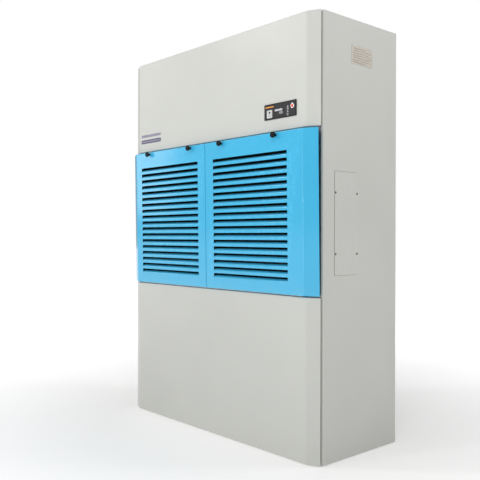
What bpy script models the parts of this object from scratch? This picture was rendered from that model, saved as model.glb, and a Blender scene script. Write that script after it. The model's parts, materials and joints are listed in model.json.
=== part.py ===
"""Free-standing commercial dehumidifier in a sheet-steel cabinet.

Two louvred intake panels tilt out of the front. Behind them stand the filters, the cold and
warm coils, the compressor below and a pair of blowers above, which push the dried air out of
two grilles in the top. Units are metres, +Z is up and -Y is the front. The origin is on the
floor, under the middle of the cabinet.
"""
import math

import bmesh
import bpy
from mathutils import Vector

# Cabinet. DEPTHS are measured from the flat face of the grey front panels.
WIDTH = 1.2632
HEIGHT = 1.750
FRONT_Y = -0.240
SIDE_START = 0.0343
SIDE_END = 0.5027
FLOOR_GAP = 0.003
SKIN = 0.0012
GAP = 0.0003
LIP = 0.012
SIDE_BEND = 0.004

# Front panels: flat face, then a shallow slope at each end.
FLAT_HALF = 0.5765
SLOPE_HALF = 0.6305
SLOPE_DEPTH = 0.0241
FRONT_PAN_DEPTH = 0.030
PAN_TUCK = 0.009
LOWER_TOP = 0.648
UPPER_BOTTOM = 1.306

# Intake panels, in their own frame: y from the face, z from the lower edge.
INTAKE_BOTTOM = 0.653
INTAKE_HEIGHT = 0.646
INTAKE_PROUD_BOTTOM = 0.011
INTAKE_PROUD_TOP = 0.0215
INTAKE_TILT = math.asin((INTAKE_PROUD_TOP - INTAKE_PROUD_BOTTOM) / INTAKE_HEIGHT)
INTAKE_FLAT_HALF = 0.573
INTAKE_SLOPE_DEPTH = 0.028
INTAKE_PAN_DEPTH = 0.034
SEAM_X = -0.0215
SEAM_GAP = 0.002
LOUVRE_COUNT = 18
LOUVRE_PITCH = 0.0295
LOUVRE_SLOT = 0.020
LOUVRE_FIRST = 0.048
LOUVRE_ANGLE = math.radians(55.0)
LOUVRE_SIDE_GAP = 0.001
LOUVRE_SPANS = {"left": (-0.527, -0.074), "right": (0.034, 0.489)}
FILTER_BORDER = 0.019
FILTER_FRONT = 0.0205
FILTER_BACK = 0.0295
FILTER_RIM = 0.012
FILTER_MESH = 0.002

# Thumb knobs that hold the intake panels shut.
KNOB_X = {"knob_1": -0.455, "knob_2": -0.127, "knob_3": 0.093, "knob_4": 0.427}
KNOB_Z = 0.634
KNOB_RADIUS = 0.0122
KNOB_NECK = 0.0054
KNOB_PROUD = 0.0200
KNOB_HEAD = 0.0085
STUD_RADIUS = 0.003
STUD_LENGTH = 0.060
STUD_HOLE = 0.0036
RAIL_HOLE = 0.0045

# Control plate on the upper front panel.
PLATE_LOW = (0.3450, 1.3555)
PLATE_HIGH = (0.5235, 1.4185)
PLATE_THICK = 0.003
POWER_PLACE = (0.5035, 1.3964)
POWER_RADIUS = 0.0062
POWER_PROUD = 0.004
BEZEL_RADIUS = 0.0102
BEZEL_PROUD = 0.0022
TILE_PLACE = (0.3762, 1.3785)
TILE_SIZE = (0.031, 0.032)
KEY_PLACE = (0.3772, 1.3842)
KEY_RADIUS = 0.0038
KEY_PROUD = 0.0024
DISPLAY_PLACE = (0.4274, 1.3893)
DISPLAY_SIZE = (0.0425, 0.0085)
OVAL_PLACE = (0.4424, 1.3772)
OVAL_SIZE = (0.022, 0.012)
OVAL_PROUD = 0.002
BUTTON_LENGTH = 0.010
TRIM = 0.001
HOLE_CLEARANCE = 0.0004

# Side service cover and nameplate on the right: depth range and height range.
COVER_DEPTH = (0.0995, 0.241)
COVER_Z = (0.7305, 1.1375)
COVER_OVERLAP = 0.012
SCREW_DEPTHS = (0.1045, 0.2360)
SCREW_HEIGHTS = (0.814, 1.054)
SCREW_RADIUS = 0.0035
NAMEPLATE_DEPTH = (0.201, 0.335)
NAMEPLATE_Z = (1.572, 1.646)

# Frame.
POST_HALF = 0.6285
POST_LEG = 0.040
POST_STEEL = 0.002
POST_FRONT = 0.0375
POST_BACK = 0.488
POST_TOP = 1.732
RAIL_HALF = 0.588
RAIL_DEEP = 0.030
BASE_BOTTOM = 0.012
BASE_THICK = 0.004
PAD_RADIUS = 0.025
PAD_X = 0.560
PAD_DEPTHS = (0.090, 0.440)

# Top cover and its two outlet grilles.
TOP_Z = 1.7465
TOP_HALF = 0.6186
OUTLET_X = 0.300
OUTLET_HALF = (0.135, 0.085)
OUTLET_DEPTH = 0.200
GRILLE_FLANGE = 0.010
GRILLE_DROP = 0.012
GRILLE_SLOTS = 13
GRILLE_SLOT_WIDTH = 0.0075

# Blowers: two scroll housings and drum impellers on one shaft through the motor.
FAN_DEPTH = 0.270
FAN_Z = 1.520
SCROLL_SMALL = 0.105
SCROLL_LARGE = 0.150
SCROLL_HALF_WIDTH = 0.130
SCROLL_TOP = 1.7435
SCROLL_EYE = 0.075
TONGUE_ANGLE = math.radians(85.0)
IMPELLER_RADIUS = 0.095
IMPELLER_HALF = 0.100
IMPELLER_BLADES = 18
SHAFT_RADIUS = 0.008
SHAFT_HALF = 0.430
MOTOR_RADIUS = 0.070
MOTOR_HALF = 0.085
DECK_Z = 1.300
DECK_BACK = 0.330

# Cooling circuit.
COIL_HALF = 0.545
COIL_Z = (0.692, 1.250)
EVAPORATOR_DEPTH = (0.078, 0.138)
CONDENSER_DEPTH = (0.160, 0.220)
HEADER_RADIUS = 0.009
FIN_COUNT = 28
FIN_THICK = 0.0024
FIN_SHEET = 0.0036
PAN_HALF = 0.560
PAN_DEPTH = (0.064, 0.234)
PAN_Z = (0.655, 0.687)
COMPRESSOR_PLACE = (0.250, 0.270)
COMPRESSOR_RADIUS = 0.088
COMPRESSOR_HEIGHT = 0.420
PIPE_X = 0.574

# Rear fittings.
GLAND_PLACE = (0.520, 0.250)
GLAND_BORE = 0.0055
DRAIN_PLACE = (-0.500, 0.200)
DRAIN_RADIUS = 0.009

ROUND_STEPS = 20


def deep(distance):
    """World y of a point that lies this far behind the front panels' face."""
    return FRONT_Y + distance


def clear_scene():
    for item in list(bpy.data.objects):
        bpy.data.objects.remove(item, do_unlink=True)


def make_collection(name):
    collection = bpy.data.collections.new(name)
    bpy.context.scene.collection.children.link(collection)
    return collection


def make_material(name, colour, roughness, metallic=0.0):
    material = bpy.data.materials.new(name)
    material.use_nodes = True
    shader = material.node_tree.nodes["Principled BSDF"]
    shader.inputs["Base Color"].default_value = (*colour, 1.0)
    shader.inputs["Roughness"].default_value = roughness
    shader.inputs["Metallic"].default_value = metallic
    return material


# Mesh helpers ---------------------------------------------------------------------------

def add_object(name, bm, material, parent=None):
    """Turn a bmesh into an object in the part's collection."""
    mesh = bpy.data.meshes.new(name)
    bm.to_mesh(mesh)
    bm.free()
    mesh.materials.append(material)
    item = bpy.data.objects.new(name, mesh)
    item.parent = parent
    parts.objects.link(item)
    return item


def shade_round(item):
    item.data.shade_smooth()
    item.data.set_sharp_from_angle(angle=math.radians(35.0))


def add_block(bm, low, high):
    """Add one box between two corners."""
    low, high = Vector(low), Vector(high)
    verts = bmesh.ops.create_cube(bm, size=1.0)["verts"]
    bmesh.ops.scale(bm, vec=high - low, verts=verts)
    bmesh.ops.translate(bm, vec=(high + low) / 2, verts=verts)


def block(name, low, high, material, bevel=0.0, parent=None):
    bm = bmesh.new()
    add_block(bm, low, high)
    item = add_object(name, bm, material, parent)
    if bevel:
        round_edges(item, bevel)
    return item


def blocks(name, corners, material, parent=None):
    """Several boxes that don't meet, in one object."""
    bm = bmesh.new()
    for low, high in corners:
        add_block(bm, low, high)
    return add_object(name, bm, material, parent)


def round_edges(item, width, segments=2, angle=15.0):
    bevel = item.modifiers.new("bend", "BEVEL")
    bevel.width = width
    bevel.segments = segments
    bevel.limit_method = "ANGLE"
    bevel.angle_limit = math.radians(angle)


def along(axis, a, b, c):
    """A point from two outline coordinates and the place along the axis."""
    return {"X": (c, a, b), "Y": (a, c, b), "Z": (a, b, c)}[axis]


def extrude_outline(outline, axis, start, end):
    """Extrude a closed outline along an axis, between two places on it."""
    bm = bmesh.new()
    cap = bm.faces.new([bm.verts.new(along(axis, a, b, start)) for a, b in outline])
    sides = bmesh.ops.extrude_face_region(bm, geom=[cap], use_keep_orig=True)
    moved = [v for v in sides["geom"] if isinstance(v, bmesh.types.BMVert)]
    bmesh.ops.translate(bm, verts=moved, vec=along(axis, 0.0, 0.0, end - start))
    bmesh.ops.recalc_face_normals(bm, faces=bm.faces)
    return bm


def prism(name, outline, axis, start, end, material, parent=None):
    return add_object(name, extrude_outline(outline, axis, start, end), material, parent)


def pan(name, outline, axis, ends, open_side, material, bend=0.003, parent=None):
    """A folded sheet: an extruded outline, open on one side, thickened inwards."""
    bm = extrude_outline(outline, axis, *ends)
    away = [f for f in bm.faces if f.normal.dot(Vector(open_side)) > 0.99]
    bmesh.ops.delete(bm, geom=away, context="FACES")
    item = add_object(name, bm, material, parent)
    if bend:
        round_edges(item, bend)
    skin = item.modifiers.new("skin", "SOLIDIFY")
    skin.thickness = SKIN
    skin.offset = -1.0
    skin.use_even_offset = True
    return item


def rectangle(low_a, low_b, high_a, high_b):
    return [(low_a, low_b), (high_a, low_b), (high_a, high_b), (low_a, high_b)]


def turned(name, profile, material, direction="up", parent=None, ring=False, steps=ROUND_STEPS):
    """Turn a profile of (radius, height) points, listed from the top down its outside."""
    bm = bmesh.new()
    verts = [bm.verts.new((radius, 0.0, height)) for radius, height in profile]
    pairs = list(zip(verts, verts[1:])) + ([(verts[-1], verts[0])] if ring else [])
    for first, second in pairs:
        bm.edges.new((first, second))
    item = add_object(name, bm, material, parent)
    screw = item.modifiers.new("turn", "SCREW")
    screw.steps = screw.render_steps = steps
    screw.use_merge_vertices = True
    screw.merge_threshold = 0.00001
    item.rotation_euler = {"up": (0, 0, 0), "front": (math.pi / 2, 0, 0),
                           "back": (-math.pi / 2, 0, 0), "right": (0, math.pi / 2, 0)}[direction]
    return item


def rod_profile(radius, top, bottom):
    return [(0.0, top), (radius, top), (radius, bottom), (0.0, bottom)]


def cut(item, cutter, operation="DIFFERENCE"):
    """Cut or join one object with another, which then counts as a cutter."""
    parts.objects.unlink(cutter)
    cutters.objects.link(cutter)
    cutter.hide_render = True
    cutter.display_type = "WIRE"
    boolean = item.modifiers.new(operation.lower(), "BOOLEAN")
    boolean.object = cutter
    boolean.operation = operation
    boolean.solver = "EXACT"
    return item


def join(item, other):
    return cut(item, other, "UNION")


def hole(item, name, radius, place, direction, length, parent=None):
    """Drill a round hole through an object, centred on a point."""
    drill = turned(name, rod_profile(radius, length / 2, -length / 2), steel, direction, parent)
    drill.location = place
    return cut(item, drill)


def smooth_route(corners, bend, pieces=4):
    """Points along a route of straight runs, with each corner rounded by a quadratic curve."""
    points = [Vector(corners[0])]
    for before, corner, after in zip(corners, corners[1:], corners[2:]):
        corner = Vector(corner)
        start = corner + (Vector(before) - corner).normalized() * bend
        finish = corner + (Vector(after) - corner).normalized() * bend
        for step in range(pieces + 1):
            t = step / pieces
            points.append((1 - t) ** 2 * start + 2 * t * (1 - t) * corner + t * t * finish)
    return points + [Vector(corners[-1])]


def pipe(name, corners, radius, material, bend=0.035):
    """A round pipe along a route, as a curve with a bevel."""
    curve = bpy.data.curves.new(name, "CURVE")
    curve.dimensions = "3D"
    curve.bevel_depth = radius
    curve.bevel_resolution = 2
    curve.use_fill_caps = True
    spline = curve.splines.new("POLY")
    route = smooth_route(corners, bend)
    spline.points.add(len(route) - 1)
    for point, place in zip(spline.points, route):
        point.co = (*place, 1.0)
    curve.materials.append(material)
    item = bpy.data.objects.new(name, curve)
    parts.objects.link(item)
    return item


def as_mesh(item):
    """Make a curve object into a mesh with welded caps, so that it can be cut."""
    graph = bpy.context.evaluated_depsgraph_get()
    mesh = bpy.data.meshes.new_from_object(item.evaluated_get(graph))
    bm = bmesh.new()
    bm.from_mesh(mesh)
    bmesh.ops.remove_doubles(bm, verts=bm.verts, dist=0.00001)
    bm.to_mesh(mesh)
    bm.free()
    solid = bpy.data.objects.new(item.name, mesh)
    solid.matrix_world = item.matrix_world
    name = item.name
    bpy.data.objects.remove(item, do_unlink=True)
    solid.name = name
    parts.objects.link(solid)
    return solid


# Frame and base -------------------------------------------------------------------------

def build_base():
    block("base_plate", (-POST_HALF, deep(POST_FRONT), BASE_BOTTOM),
          (POST_HALF, deep(POST_BACK), BASE_BOTTOM + BASE_THICK), zinc)
    top = BASE_BOTTOM - GAP
    profile = [(0.0, top), (PAD_RADIUS, top), (PAD_RADIUS, 0.002), (PAD_RADIUS - 0.002, 0.0),
               (0.0, 0.0)]
    for end, distance in zip(("front", "rear"), PAD_DEPTHS):
        for side, x in (("left", -PAD_X), ("right", PAD_X)):
            pad = turned(f"pad_{end}_{side}", profile, rubber)
            pad.location = (x, deep(distance), 0.0)


def build_posts():
    """Four angle posts with their corners outwards."""
    for side, sign in (("left", -1), ("right", 1)):
        for end, corner, inward in (("front", POST_FRONT, 1), ("rear", POST_BACK, -1)):
            x, y = sign * POST_HALF, deep(corner)
            leg, steel_x, steel_y = POST_LEG, sign * POST_STEEL, inward * POST_STEEL
            outline = [(x, y), (x - sign * leg, y), (x - sign * leg, y + steel_y),
                       (x - steel_x, y + steel_y), (x - steel_x, y + inward * leg),
                       (x, y + inward * leg)]
            prism(f"post_{end}_{side}", outline, "Z", BASE_BOTTOM + BASE_THICK + GAP, POST_TOP,
                  zinc)


def channel_outline(front, back, low, high):
    """A channel with its back open, as depth and height points."""
    t = POST_STEEL
    return [(front, low), (back, low), (back, low + t), (front + t, low + t),
            (front + t, high - t), (back, high - t), (back, high), (front, high)]


def build_rails():
    front, back = deep(POST_FRONT), deep(POST_FRONT + RAIL_DEEP)
    lower = prism("rail_lower", channel_outline(front, back, 0.600, 0.652), "X",
                  -RAIL_HALF, RAIL_HALF, zinc)
    ledge = block("rail_ledge", (-0.55, deep(0.006), 0.6500), (0.55, front + 0.001, 0.6515), zinc)
    join(lower, ledge)
    upper = prism("rail_upper", channel_outline(front, back, 1.262, 1.298), "X",
                  -RAIL_HALF, RAIL_HALF, zinc)
    for name, x in KNOB_X.items():
        y, z = intake_point(STUD_LENGTH, KNOB_Z)
        hole(upper, f"{name}_rail_hole", RAIL_HOLE, (x, y, z), "front", 0.04)


def build_deck():
    """The blower deck: a plate with its front edge turned down and its back edge up."""
    front, back, t = deep(POST_FRONT), deep(DECK_BACK), POST_STEEL
    outline = [(front, DECK_Z), (front, DECK_Z + t), (back - t, DECK_Z + t),
               (back - t, DECK_Z + 0.020), (back, DECK_Z + 0.020), (back, DECK_Z)]
    prism("fan_deck", outline, "X", -RAIL_HALF, RAIL_HALF, zinc)


# Outer panels ---------------------------------------------------------------------------

def build_sides():
    half = WIDTH / 2
    for side, sign in (("left", -1), ("right", 1)):
        outline = rectangle(sign * (half - LIP), deep(SIDE_START), sign * half, deep(SIDE_END))
        panel = pan(f"side_panel_{side}", outline, "Z", (FLOOR_GAP, HEIGHT), (-sign, 0, 0),
                    grey, SIDE_BEND)
        if side == "right":
            low = (half - 0.01, deep(COVER_DEPTH[0] + COVER_OVERLAP), COVER_Z[0] + COVER_OVERLAP)
            high = (half + 0.01, deep(COVER_DEPTH[1] - COVER_OVERLAP), COVER_Z[1] - COVER_OVERLAP)
            cut(panel, block("cover_opening", low, high, steel))
            for name, y, z in cover_screws():
                hole(panel, f"{name}_hole", 0.0022, (half, y, z), "right", 0.01)


def cover_screws():
    places = [(y, z) for z in SCREW_HEIGHTS for y in SCREW_DEPTHS]
    return [(f"cover_screw_{i + 1}", deep(y), z) for i, (y, z) in enumerate(places)]


def build_cover():
    face = WIDTH / 2 + GAP
    cover = block("access_cover", (face, deep(COVER_DEPTH[0]), COVER_Z[0]),
                  (face + SKIN, deep(COVER_DEPTH[1]), COVER_Z[1]), grey)
    head = face + SKIN + GAP
    for name, y, z in cover_screws():
        hole(cover, f"{name}_cover_hole", 0.0022, (face, y, z), "right", 0.01)
        profile = [(0.0, 0.0012), (0.0020, 0.0012), (SCREW_RADIUS, 0.0005), (SCREW_RADIUS, 0.0),
                   (0.0018, 0.0), (0.0018, -0.008), (0.0, -0.008)]
        screw = turned(name, profile, steel, "right", steps=12)
        screw.location = (head, y, z)
    block("nameplate", (face, deep(NAMEPLATE_DEPTH[0]), NAMEPLATE_Z[0]),
          (face + 0.0008, deep(NAMEPLATE_DEPTH[1]), NAMEPLATE_Z[1]), brushed)


def front_outline():
    back, slope, face = deep(FRONT_PAN_DEPTH), deep(SLOPE_DEPTH), deep(0.0)
    return [(-SLOPE_HALF + PAN_TUCK, back), (-SLOPE_HALF, slope), (-FLAT_HALF, face),
            (FLAT_HALF, face), (SLOPE_HALF, slope), (SLOPE_HALF - PAN_TUCK, back)]


def build_front():
    pan("front_panel_lower", front_outline(), "Z", (FLOOR_GAP, LOWER_TOP), (0, 1, 0), grey)
    upper = pan("front_panel_upper", front_outline(), "Z", (UPPER_BOTTOM, HEIGHT), (0, 1, 0), grey)
    edge = 0.010
    low = (PLATE_LOW[0] + edge, deep(-0.01), PLATE_LOW[1] + edge)
    high = (PLATE_HIGH[0] - edge, deep(0.01), PLATE_HIGH[1] - edge)
    cut(upper, block("plate_opening", low, high, steel))


def build_rear():
    back = deep(SIDE_END) - 0.0005
    outline = rectangle(-TOP_HALF, back - LIP, TOP_HALF, back)
    panel = pan("rear_panel", outline, "Z", (FLOOR_GAP, HEIGHT - 0.002), (0, -1, 0), grey)
    hole(panel, "gland_hole", 0.0088, (GLAND_PLACE[0], back, GLAND_PLACE[1]), "front", 0.01)
    hole(panel, "drain_hole", DRAIN_RADIUS + 0.0006, (DRAIN_PLACE[0], back, DRAIN_PLACE[1]),
         "front", 0.01)


def build_top():
    front = deep(FRONT_PAN_DEPTH + 0.001)
    back = deep(SIDE_END - 0.0005 - LIP - 0.001)
    outline = rectangle(-TOP_HALF, front, TOP_HALF, back)
    panel = pan("top_panel", outline, "Z", (TOP_Z - LIP, TOP_Z), (0, 0, -1), grey)
    for side, sign in (("left", -1), ("right", 1)):
        x, y = sign * OUTLET_X, deep(OUTLET_DEPTH)
        half_x, half_y = OUTLET_HALF
        opening = block(f"outlet_opening_{side}", (x - half_x, y - half_y, TOP_Z - 0.01),
                        (x + half_x, y + half_y, TOP_Z + 0.01), steel)
        cut(panel, opening)
        build_grille(side, x, y)


def build_grille(side, x, y):
    """An outlet grille: a flange on the cover, a collar in the opening and slots in two rows."""
    half_x, half_y = OUTLET_HALF
    collar_x, collar_y = half_x - 0.010, half_y - 0.010
    flange_x, flange_y = half_x + GRILLE_FLANGE, half_y + GRILLE_FLANGE
    base = TOP_Z + GAP
    grille = block(f"outlet_grille_{side}", (x - flange_x, y - flange_y, base),
                   (x + flange_x, y + flange_y, base + 0.0025), plastic)
    join(grille, block(f"collar_{side}", (x - collar_x, y - collar_y, base - GRILLE_DROP),
                       (x + collar_x, y + collar_y, base + 0.001), plastic))
    pitch = (2 * collar_y - 0.006) / GRILLE_SLOTS
    slots = []
    for row in range(GRILLE_SLOTS):
        slot_y = y - collar_y + 0.003 + pitch * (row + 0.5)
        for left, right in ((-collar_x + 0.004, -0.002), (0.002, collar_x - 0.004)):
            slots.append(((x + left, slot_y - GRILLE_SLOT_WIDTH / 2, base - 0.02),
                          (x + right, slot_y + GRILLE_SLOT_WIDTH / 2, base + 0.01)))
    cut(grille, blocks(f"slots_{side}", slots, steel))


# Intake panels --------------------------------------------------------------------------

def intake_point(y, z):
    """World y and z of a point given in an intake panel's own frame."""
    c, s = math.cos(INTAKE_TILT), math.sin(INTAKE_TILT)
    return deep(-INTAKE_PROUD_BOTTOM) + y * c - z * s, INTAKE_BOTTOM + y * s + z * c


def intake_pivot(side):
    """The hinge line: an empty on the panel's lower front edge, tipped to the rest angle."""
    pivot = bpy.data.objects.new(f"intake_pivot_{side}", None)
    pivot.location = (0.0, deep(-INTAKE_PROUD_BOTTOM), INTAKE_BOTTOM)
    pivot.rotation_euler = (INTAKE_TILT, 0.0, 0.0)
    parts.objects.link(pivot)
    return pivot


def intake_outline(side):
    """A flat face from the seam to the bend, then a slope at the outer end."""
    sign = -1 if side == "left" else 1
    seam = SEAM_X + sign * SEAM_GAP / 2
    outer, bend = sign * SLOPE_HALF, sign * INTAKE_FLAT_HALF
    depth, slope = INTAKE_PAN_DEPTH, INTAKE_SLOPE_DEPTH
    return [(seam, depth), (seam, 0.0), (bend, 0.0), (outer, slope),
            (outer - sign * PAN_TUCK, depth)]


def build_intake(side):
    pivot = intake_pivot(side)
    panel = pan(f"inlet_panel_{side}", intake_outline(side), "Z", (0.0, INTAKE_HEIGHT),
                (0, 1, 0), blue, parent=pivot)
    start, end = LOUVRE_SPANS[side]
    rows = [LOUVRE_FIRST + row * LOUVRE_PITCH for row in range(LOUVRE_COUNT)]
    windows = [((start, -0.01, z), (end, 0.01, z + LOUVRE_SLOT)) for z in rows]
    cut(panel, blocks(f"louvre_slots_{side}", windows, steel, pivot))
    join(panel, louvre_blades(side, start + LOUVRE_SIDE_GAP, end - LOUVRE_SIDE_GAP, rows, pivot))
    for name, x in KNOB_X.items():
        if start < x < end:
            hole(panel, f"{name}_hole", STUD_HOLE, (x, 0.0, KNOB_Z), "front", 0.01, pivot)
            build_knob(name, x, pivot)
    build_filter(side, start, end, pivot)


def louvre_blades(side, start, end, rows, pivot):
    """Flaps bent inwards about the lower edge of each slot."""
    run, rise = math.sin(LOUVRE_ANGLE), math.cos(LOUVRE_ANGLE)
    half_y, half_z = -rise * SKIN / 2, run * SKIN / 2
    bm = bmesh.new()
    for z in rows:
        root_y, root_z = SKIN / 2, z - SKIN / 2
        tip_y, tip_z = root_y + run * LOUVRE_SLOT, root_z + rise * LOUVRE_SLOT
        verts = [bm.verts.new((start, y, height)) for y, height in (
            (root_y + half_y, root_z + half_z), (tip_y + half_y, tip_z + half_z),
            (tip_y - half_y, tip_z - half_z), (root_y - half_y, root_z - half_z))]
        flap = bmesh.ops.extrude_face_region(bm, geom=[bm.faces.new(verts)], use_keep_orig=True)
        moved = [v for v in flap["geom"] if isinstance(v, bmesh.types.BMVert)]
        bmesh.ops.translate(bm, verts=moved, vec=(end - start, 0.0, 0.0))
    bmesh.ops.recalc_face_normals(bm, faces=bm.faces)
    return add_object(f"louvre_blades_{side}", bm, blue, pivot)


def build_knob(name, x, pivot):
    """A thumb knob: a head on a straight neck, and a captive stud."""
    under = KNOB_PROUD - KNOB_HEAD
    profile = [(0.0, KNOB_PROUD - 0.0007), (0.004, KNOB_PROUD - 0.0007), (0.005, KNOB_PROUD),
               (KNOB_RADIUS - 0.002, KNOB_PROUD), (KNOB_RADIUS, KNOB_PROUD - 0.0017),
               (KNOB_RADIUS, under + 0.0015), (KNOB_RADIUS - 0.002, under),
               (KNOB_NECK, under - 0.002), (KNOB_NECK, GAP), (STUD_RADIUS, GAP),
               (STUD_RADIUS, 0.001 - STUD_LENGTH), (STUD_RADIUS - 0.001, -STUD_LENGTH),
               (0.0, -STUD_LENGTH)]
    knob = turned(name, profile, black, "front", pivot)
    knob.location = (x, 0.0, KNOB_Z)


def build_filter(side, start, end, pivot):
    """A washable filter: a frame with a mesh sheet half-way through it."""
    low_x, high_x = start - FILTER_BORDER, end + FILTER_BORDER
    low_z = LOUVRE_FIRST - FILTER_BORDER
    high_z = LOUVRE_FIRST + LOUVRE_PITCH * LOUVRE_COUNT + FILTER_BORDER / 2
    item = block(f"filter_{side}", (low_x, FILTER_FRONT, low_z), (high_x, FILTER_BACK, high_z),
                 black, parent=pivot)
    middle = (FILTER_FRONT + FILTER_BACK) / 2
    low, high = (low_x + FILTER_RIM, low_z + FILTER_RIM), (high_x - FILTER_RIM, high_z - FILTER_RIM)
    pockets = [((low[0], FILTER_FRONT - 0.01, low[1]), (high[0], middle - FILTER_MESH / 2, high[1])),
               ((low[0], middle + FILTER_MESH / 2, low[1]), (high[0], FILTER_BACK + 0.01, high[1]))]
    cut(item, blocks(f"filter_pockets_{side}", pockets, steel, pivot))


# Controls -------------------------------------------------------------------------------

def stadium(centre, size, steps=8):
    """An outline with straight long sides and round ends, as x and z points."""
    radius = size[1] / 2
    reach = size[0] / 2 - radius
    points = []
    for sign in (1, -1):
        for step in range(steps + 1):
            angle = -math.pi / 2 + math.pi * step / steps
            points.append((centre[0] + sign * (reach + radius * math.cos(angle)),
                           centre[1] + sign * radius * math.sin(angle)))
    return points


def plate_box(name, centre, size, front, back, material):
    half_x, half_z = size[0] / 2, size[1] / 2
    return block(name, (centre[0] - half_x, deep(front), centre[1] - half_z),
                 (centre[0] + half_x, deep(back), centre[1] + half_z), material)


def build_controls():
    plate = block("control_plate", (PLATE_LOW[0], deep(-GAP - PLATE_THICK), PLATE_LOW[1]),
                  (PLATE_HIGH[0], deep(-GAP), PLATE_HIGH[1]), dark)
    face = -GAP - PLATE_THICK - GAP
    tile = plate_box("key_tile", TILE_PLACE, TILE_SIZE, face - TRIM, face, white)
    plate_box("display_window", DISPLAY_PLACE, DISPLAY_SIZE, face - TRIM, face, lens)
    for name, place, radius in (("power", POWER_PLACE, POWER_RADIUS), ("key", KEY_PLACE, KEY_RADIUS)):
        hole(plate, f"{name}_hole", radius + HOLE_CLEARANCE, (place[0], deep(face), place[1]),
             "front", 0.02)
    hole(tile, "tile_hole", KEY_RADIUS + HOLE_CLEARANCE, (KEY_PLACE[0], deep(face), KEY_PLACE[1]),
         "front", 0.02)
    grown = tuple(side + 2 * HOLE_CLEARANCE for side in OVAL_SIZE)
    cut(plate, prism("oval_hole", stadium(OVAL_PLACE, grown), "Y", deep(-0.01), deep(0.01), steel))
    prism("set_button", stadium(OVAL_PLACE, OVAL_SIZE), "Y", deep(face - OVAL_PROUD), deep(0.004),
          silver)
    inner, outer = POWER_RADIUS + HOLE_CLEARANCE, BEZEL_RADIUS
    ring = [(inner, BEZEL_PROUD), (outer - 0.001, BEZEL_PROUD), (outer, BEZEL_PROUD - 0.001),
            (outer, 0.0), (inner, 0.0)]
    bezel = turned("power_bezel", ring, chrome, "front", ring=True, steps=32)
    bezel.location = (POWER_PLACE[0], deep(face), POWER_PLACE[1])
    buttons = (("power_button", POWER_PLACE, POWER_RADIUS, POWER_PROUD, red),
               ("mode_key", KEY_PLACE, KEY_RADIUS, KEY_PROUD, black))
    for name, place, radius, proud, material in buttons:
        profile = [(0.0, proud), (radius - 0.001, proud), (radius, proud - 0.001),
                   (radius, -BUTTON_LENGTH), (0.0, -BUTTON_LENGTH)]
        button = turned(name, profile, material, "front")
        button.location = (place[0], deep(face), place[1])


def build_electrics():
    """A control box behind the plate, with its lid in front and a board inside."""
    low, high = (0.350, 1.340), (0.520, 1.580)
    outline = rectangle(low[0], deep(0.045), high[0], deep(0.112))
    pan("electric_box", outline, "Z", (low[1], high[1]), (0, -1, 0), zinc, 0.0)
    block("electric_lid", (low[0], deep(0.0435), low[1]), (high[0], deep(0.045 - GAP), high[1]),
          zinc)
    board = block("circuit_board", (0.365, deep(0.095), 1.355), (0.505, deep(0.097), 1.565), green)
    for number, (x, z, size, tall) in enumerate(((0.390, 1.380, 0.034, 0.030),
                                                 (0.440, 1.385, 0.040, 0.045),
                                                 (0.478, 1.470, 0.030, 0.025),
                                                 (0.395, 1.520, 0.046, 0.020))):
        part = block(f"board_part_{number}", (x - size / 2, deep(0.096 - tall), z - size / 2),
                     (x + size / 2, deep(0.096), z + size / 2), green)
        join(board, part)
    block("humidity_sensor", (0.290, deep(0.042), 1.228), (0.312, deep(0.058), 1.2615), white,
          0.002)


# Cooling circuit ------------------------------------------------------------------------

def fin_outline(left, right, front, back):
    """Upright fins that stand out of a middle sheet to both sides, seen from above."""
    middle = (front + back) / 2
    pitch = (right - left - FIN_THICK) / (FIN_COUNT - 1)
    near, far = [], []
    for number in range(FIN_COUNT):
        low = left + number * pitch
        high = low + FIN_THICK
        near += [(low, middle - FIN_SHEET / 2), (low, front), (high, front),
                 (high, middle - FIN_SHEET / 2)]
        far += [(low, middle + FIN_SHEET / 2), (low, back), (high, back),
                (high, middle + FIN_SHEET / 2)]
    return near[1:-1] + far[1:-1][::-1]


def build_coil(name, depths, material):
    """A finned coil: its fins, its two end plates and the header at its right end."""
    front, back = deep(depths[0]), deep(depths[1])
    low, high = COIL_Z
    outline = fin_outline(-COIL_HALF, COIL_HALF - 0.020, front + 0.003, back - 0.003)
    coil = prism(name, outline, "Z", low, high, material)
    for number, x in enumerate((-COIL_HALF - 0.001, COIL_HALF - 0.020)):
        join(coil, block(f"{name}_end_{number}", (x, front, low - 0.002),
                         (x + 0.0015, back, high + 0.002), zinc))
    middle = (front + back) / 2
    header = turned(f"{name}_header", rod_profile(HEADER_RADIUS, high - 0.02, low + 0.02), copper)
    header.location = (COIL_HALF - 0.004, middle, 0.0)
    join(coil, header)
    stubs = []
    for row in range(6):
        z = low + 0.05 + row * (high - low - 0.10) / 5
        stubs.append(((COIL_HALF - 0.022, middle - 0.004, z - 0.004),
                      (COIL_HALF - 0.004, middle + 0.004, z + 0.004)))
    join(coil, blocks(f"{name}_stubs", stubs, copper))


def build_drain():
    outline = rectangle(-PAN_HALF, deep(PAN_DEPTH[0]), PAN_HALF, deep(PAN_DEPTH[1]))
    pan("drain_pan", outline, "Z", PAN_Z, (0, 0, 1), zinc, 0.0)
    x, z = DRAIN_PLACE
    route = [(x, deep(0.200), PAN_Z[0] - GAP), (x, deep(0.200), z), (x, deep(0.516), z)]
    tube = as_mesh(pipe("drain_pipe", route, DRAIN_RADIUS, black, 0.045))
    hole(tube, "drain_bore", 0.0065, (x, deep(0.516), z), "front", 0.05)


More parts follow.
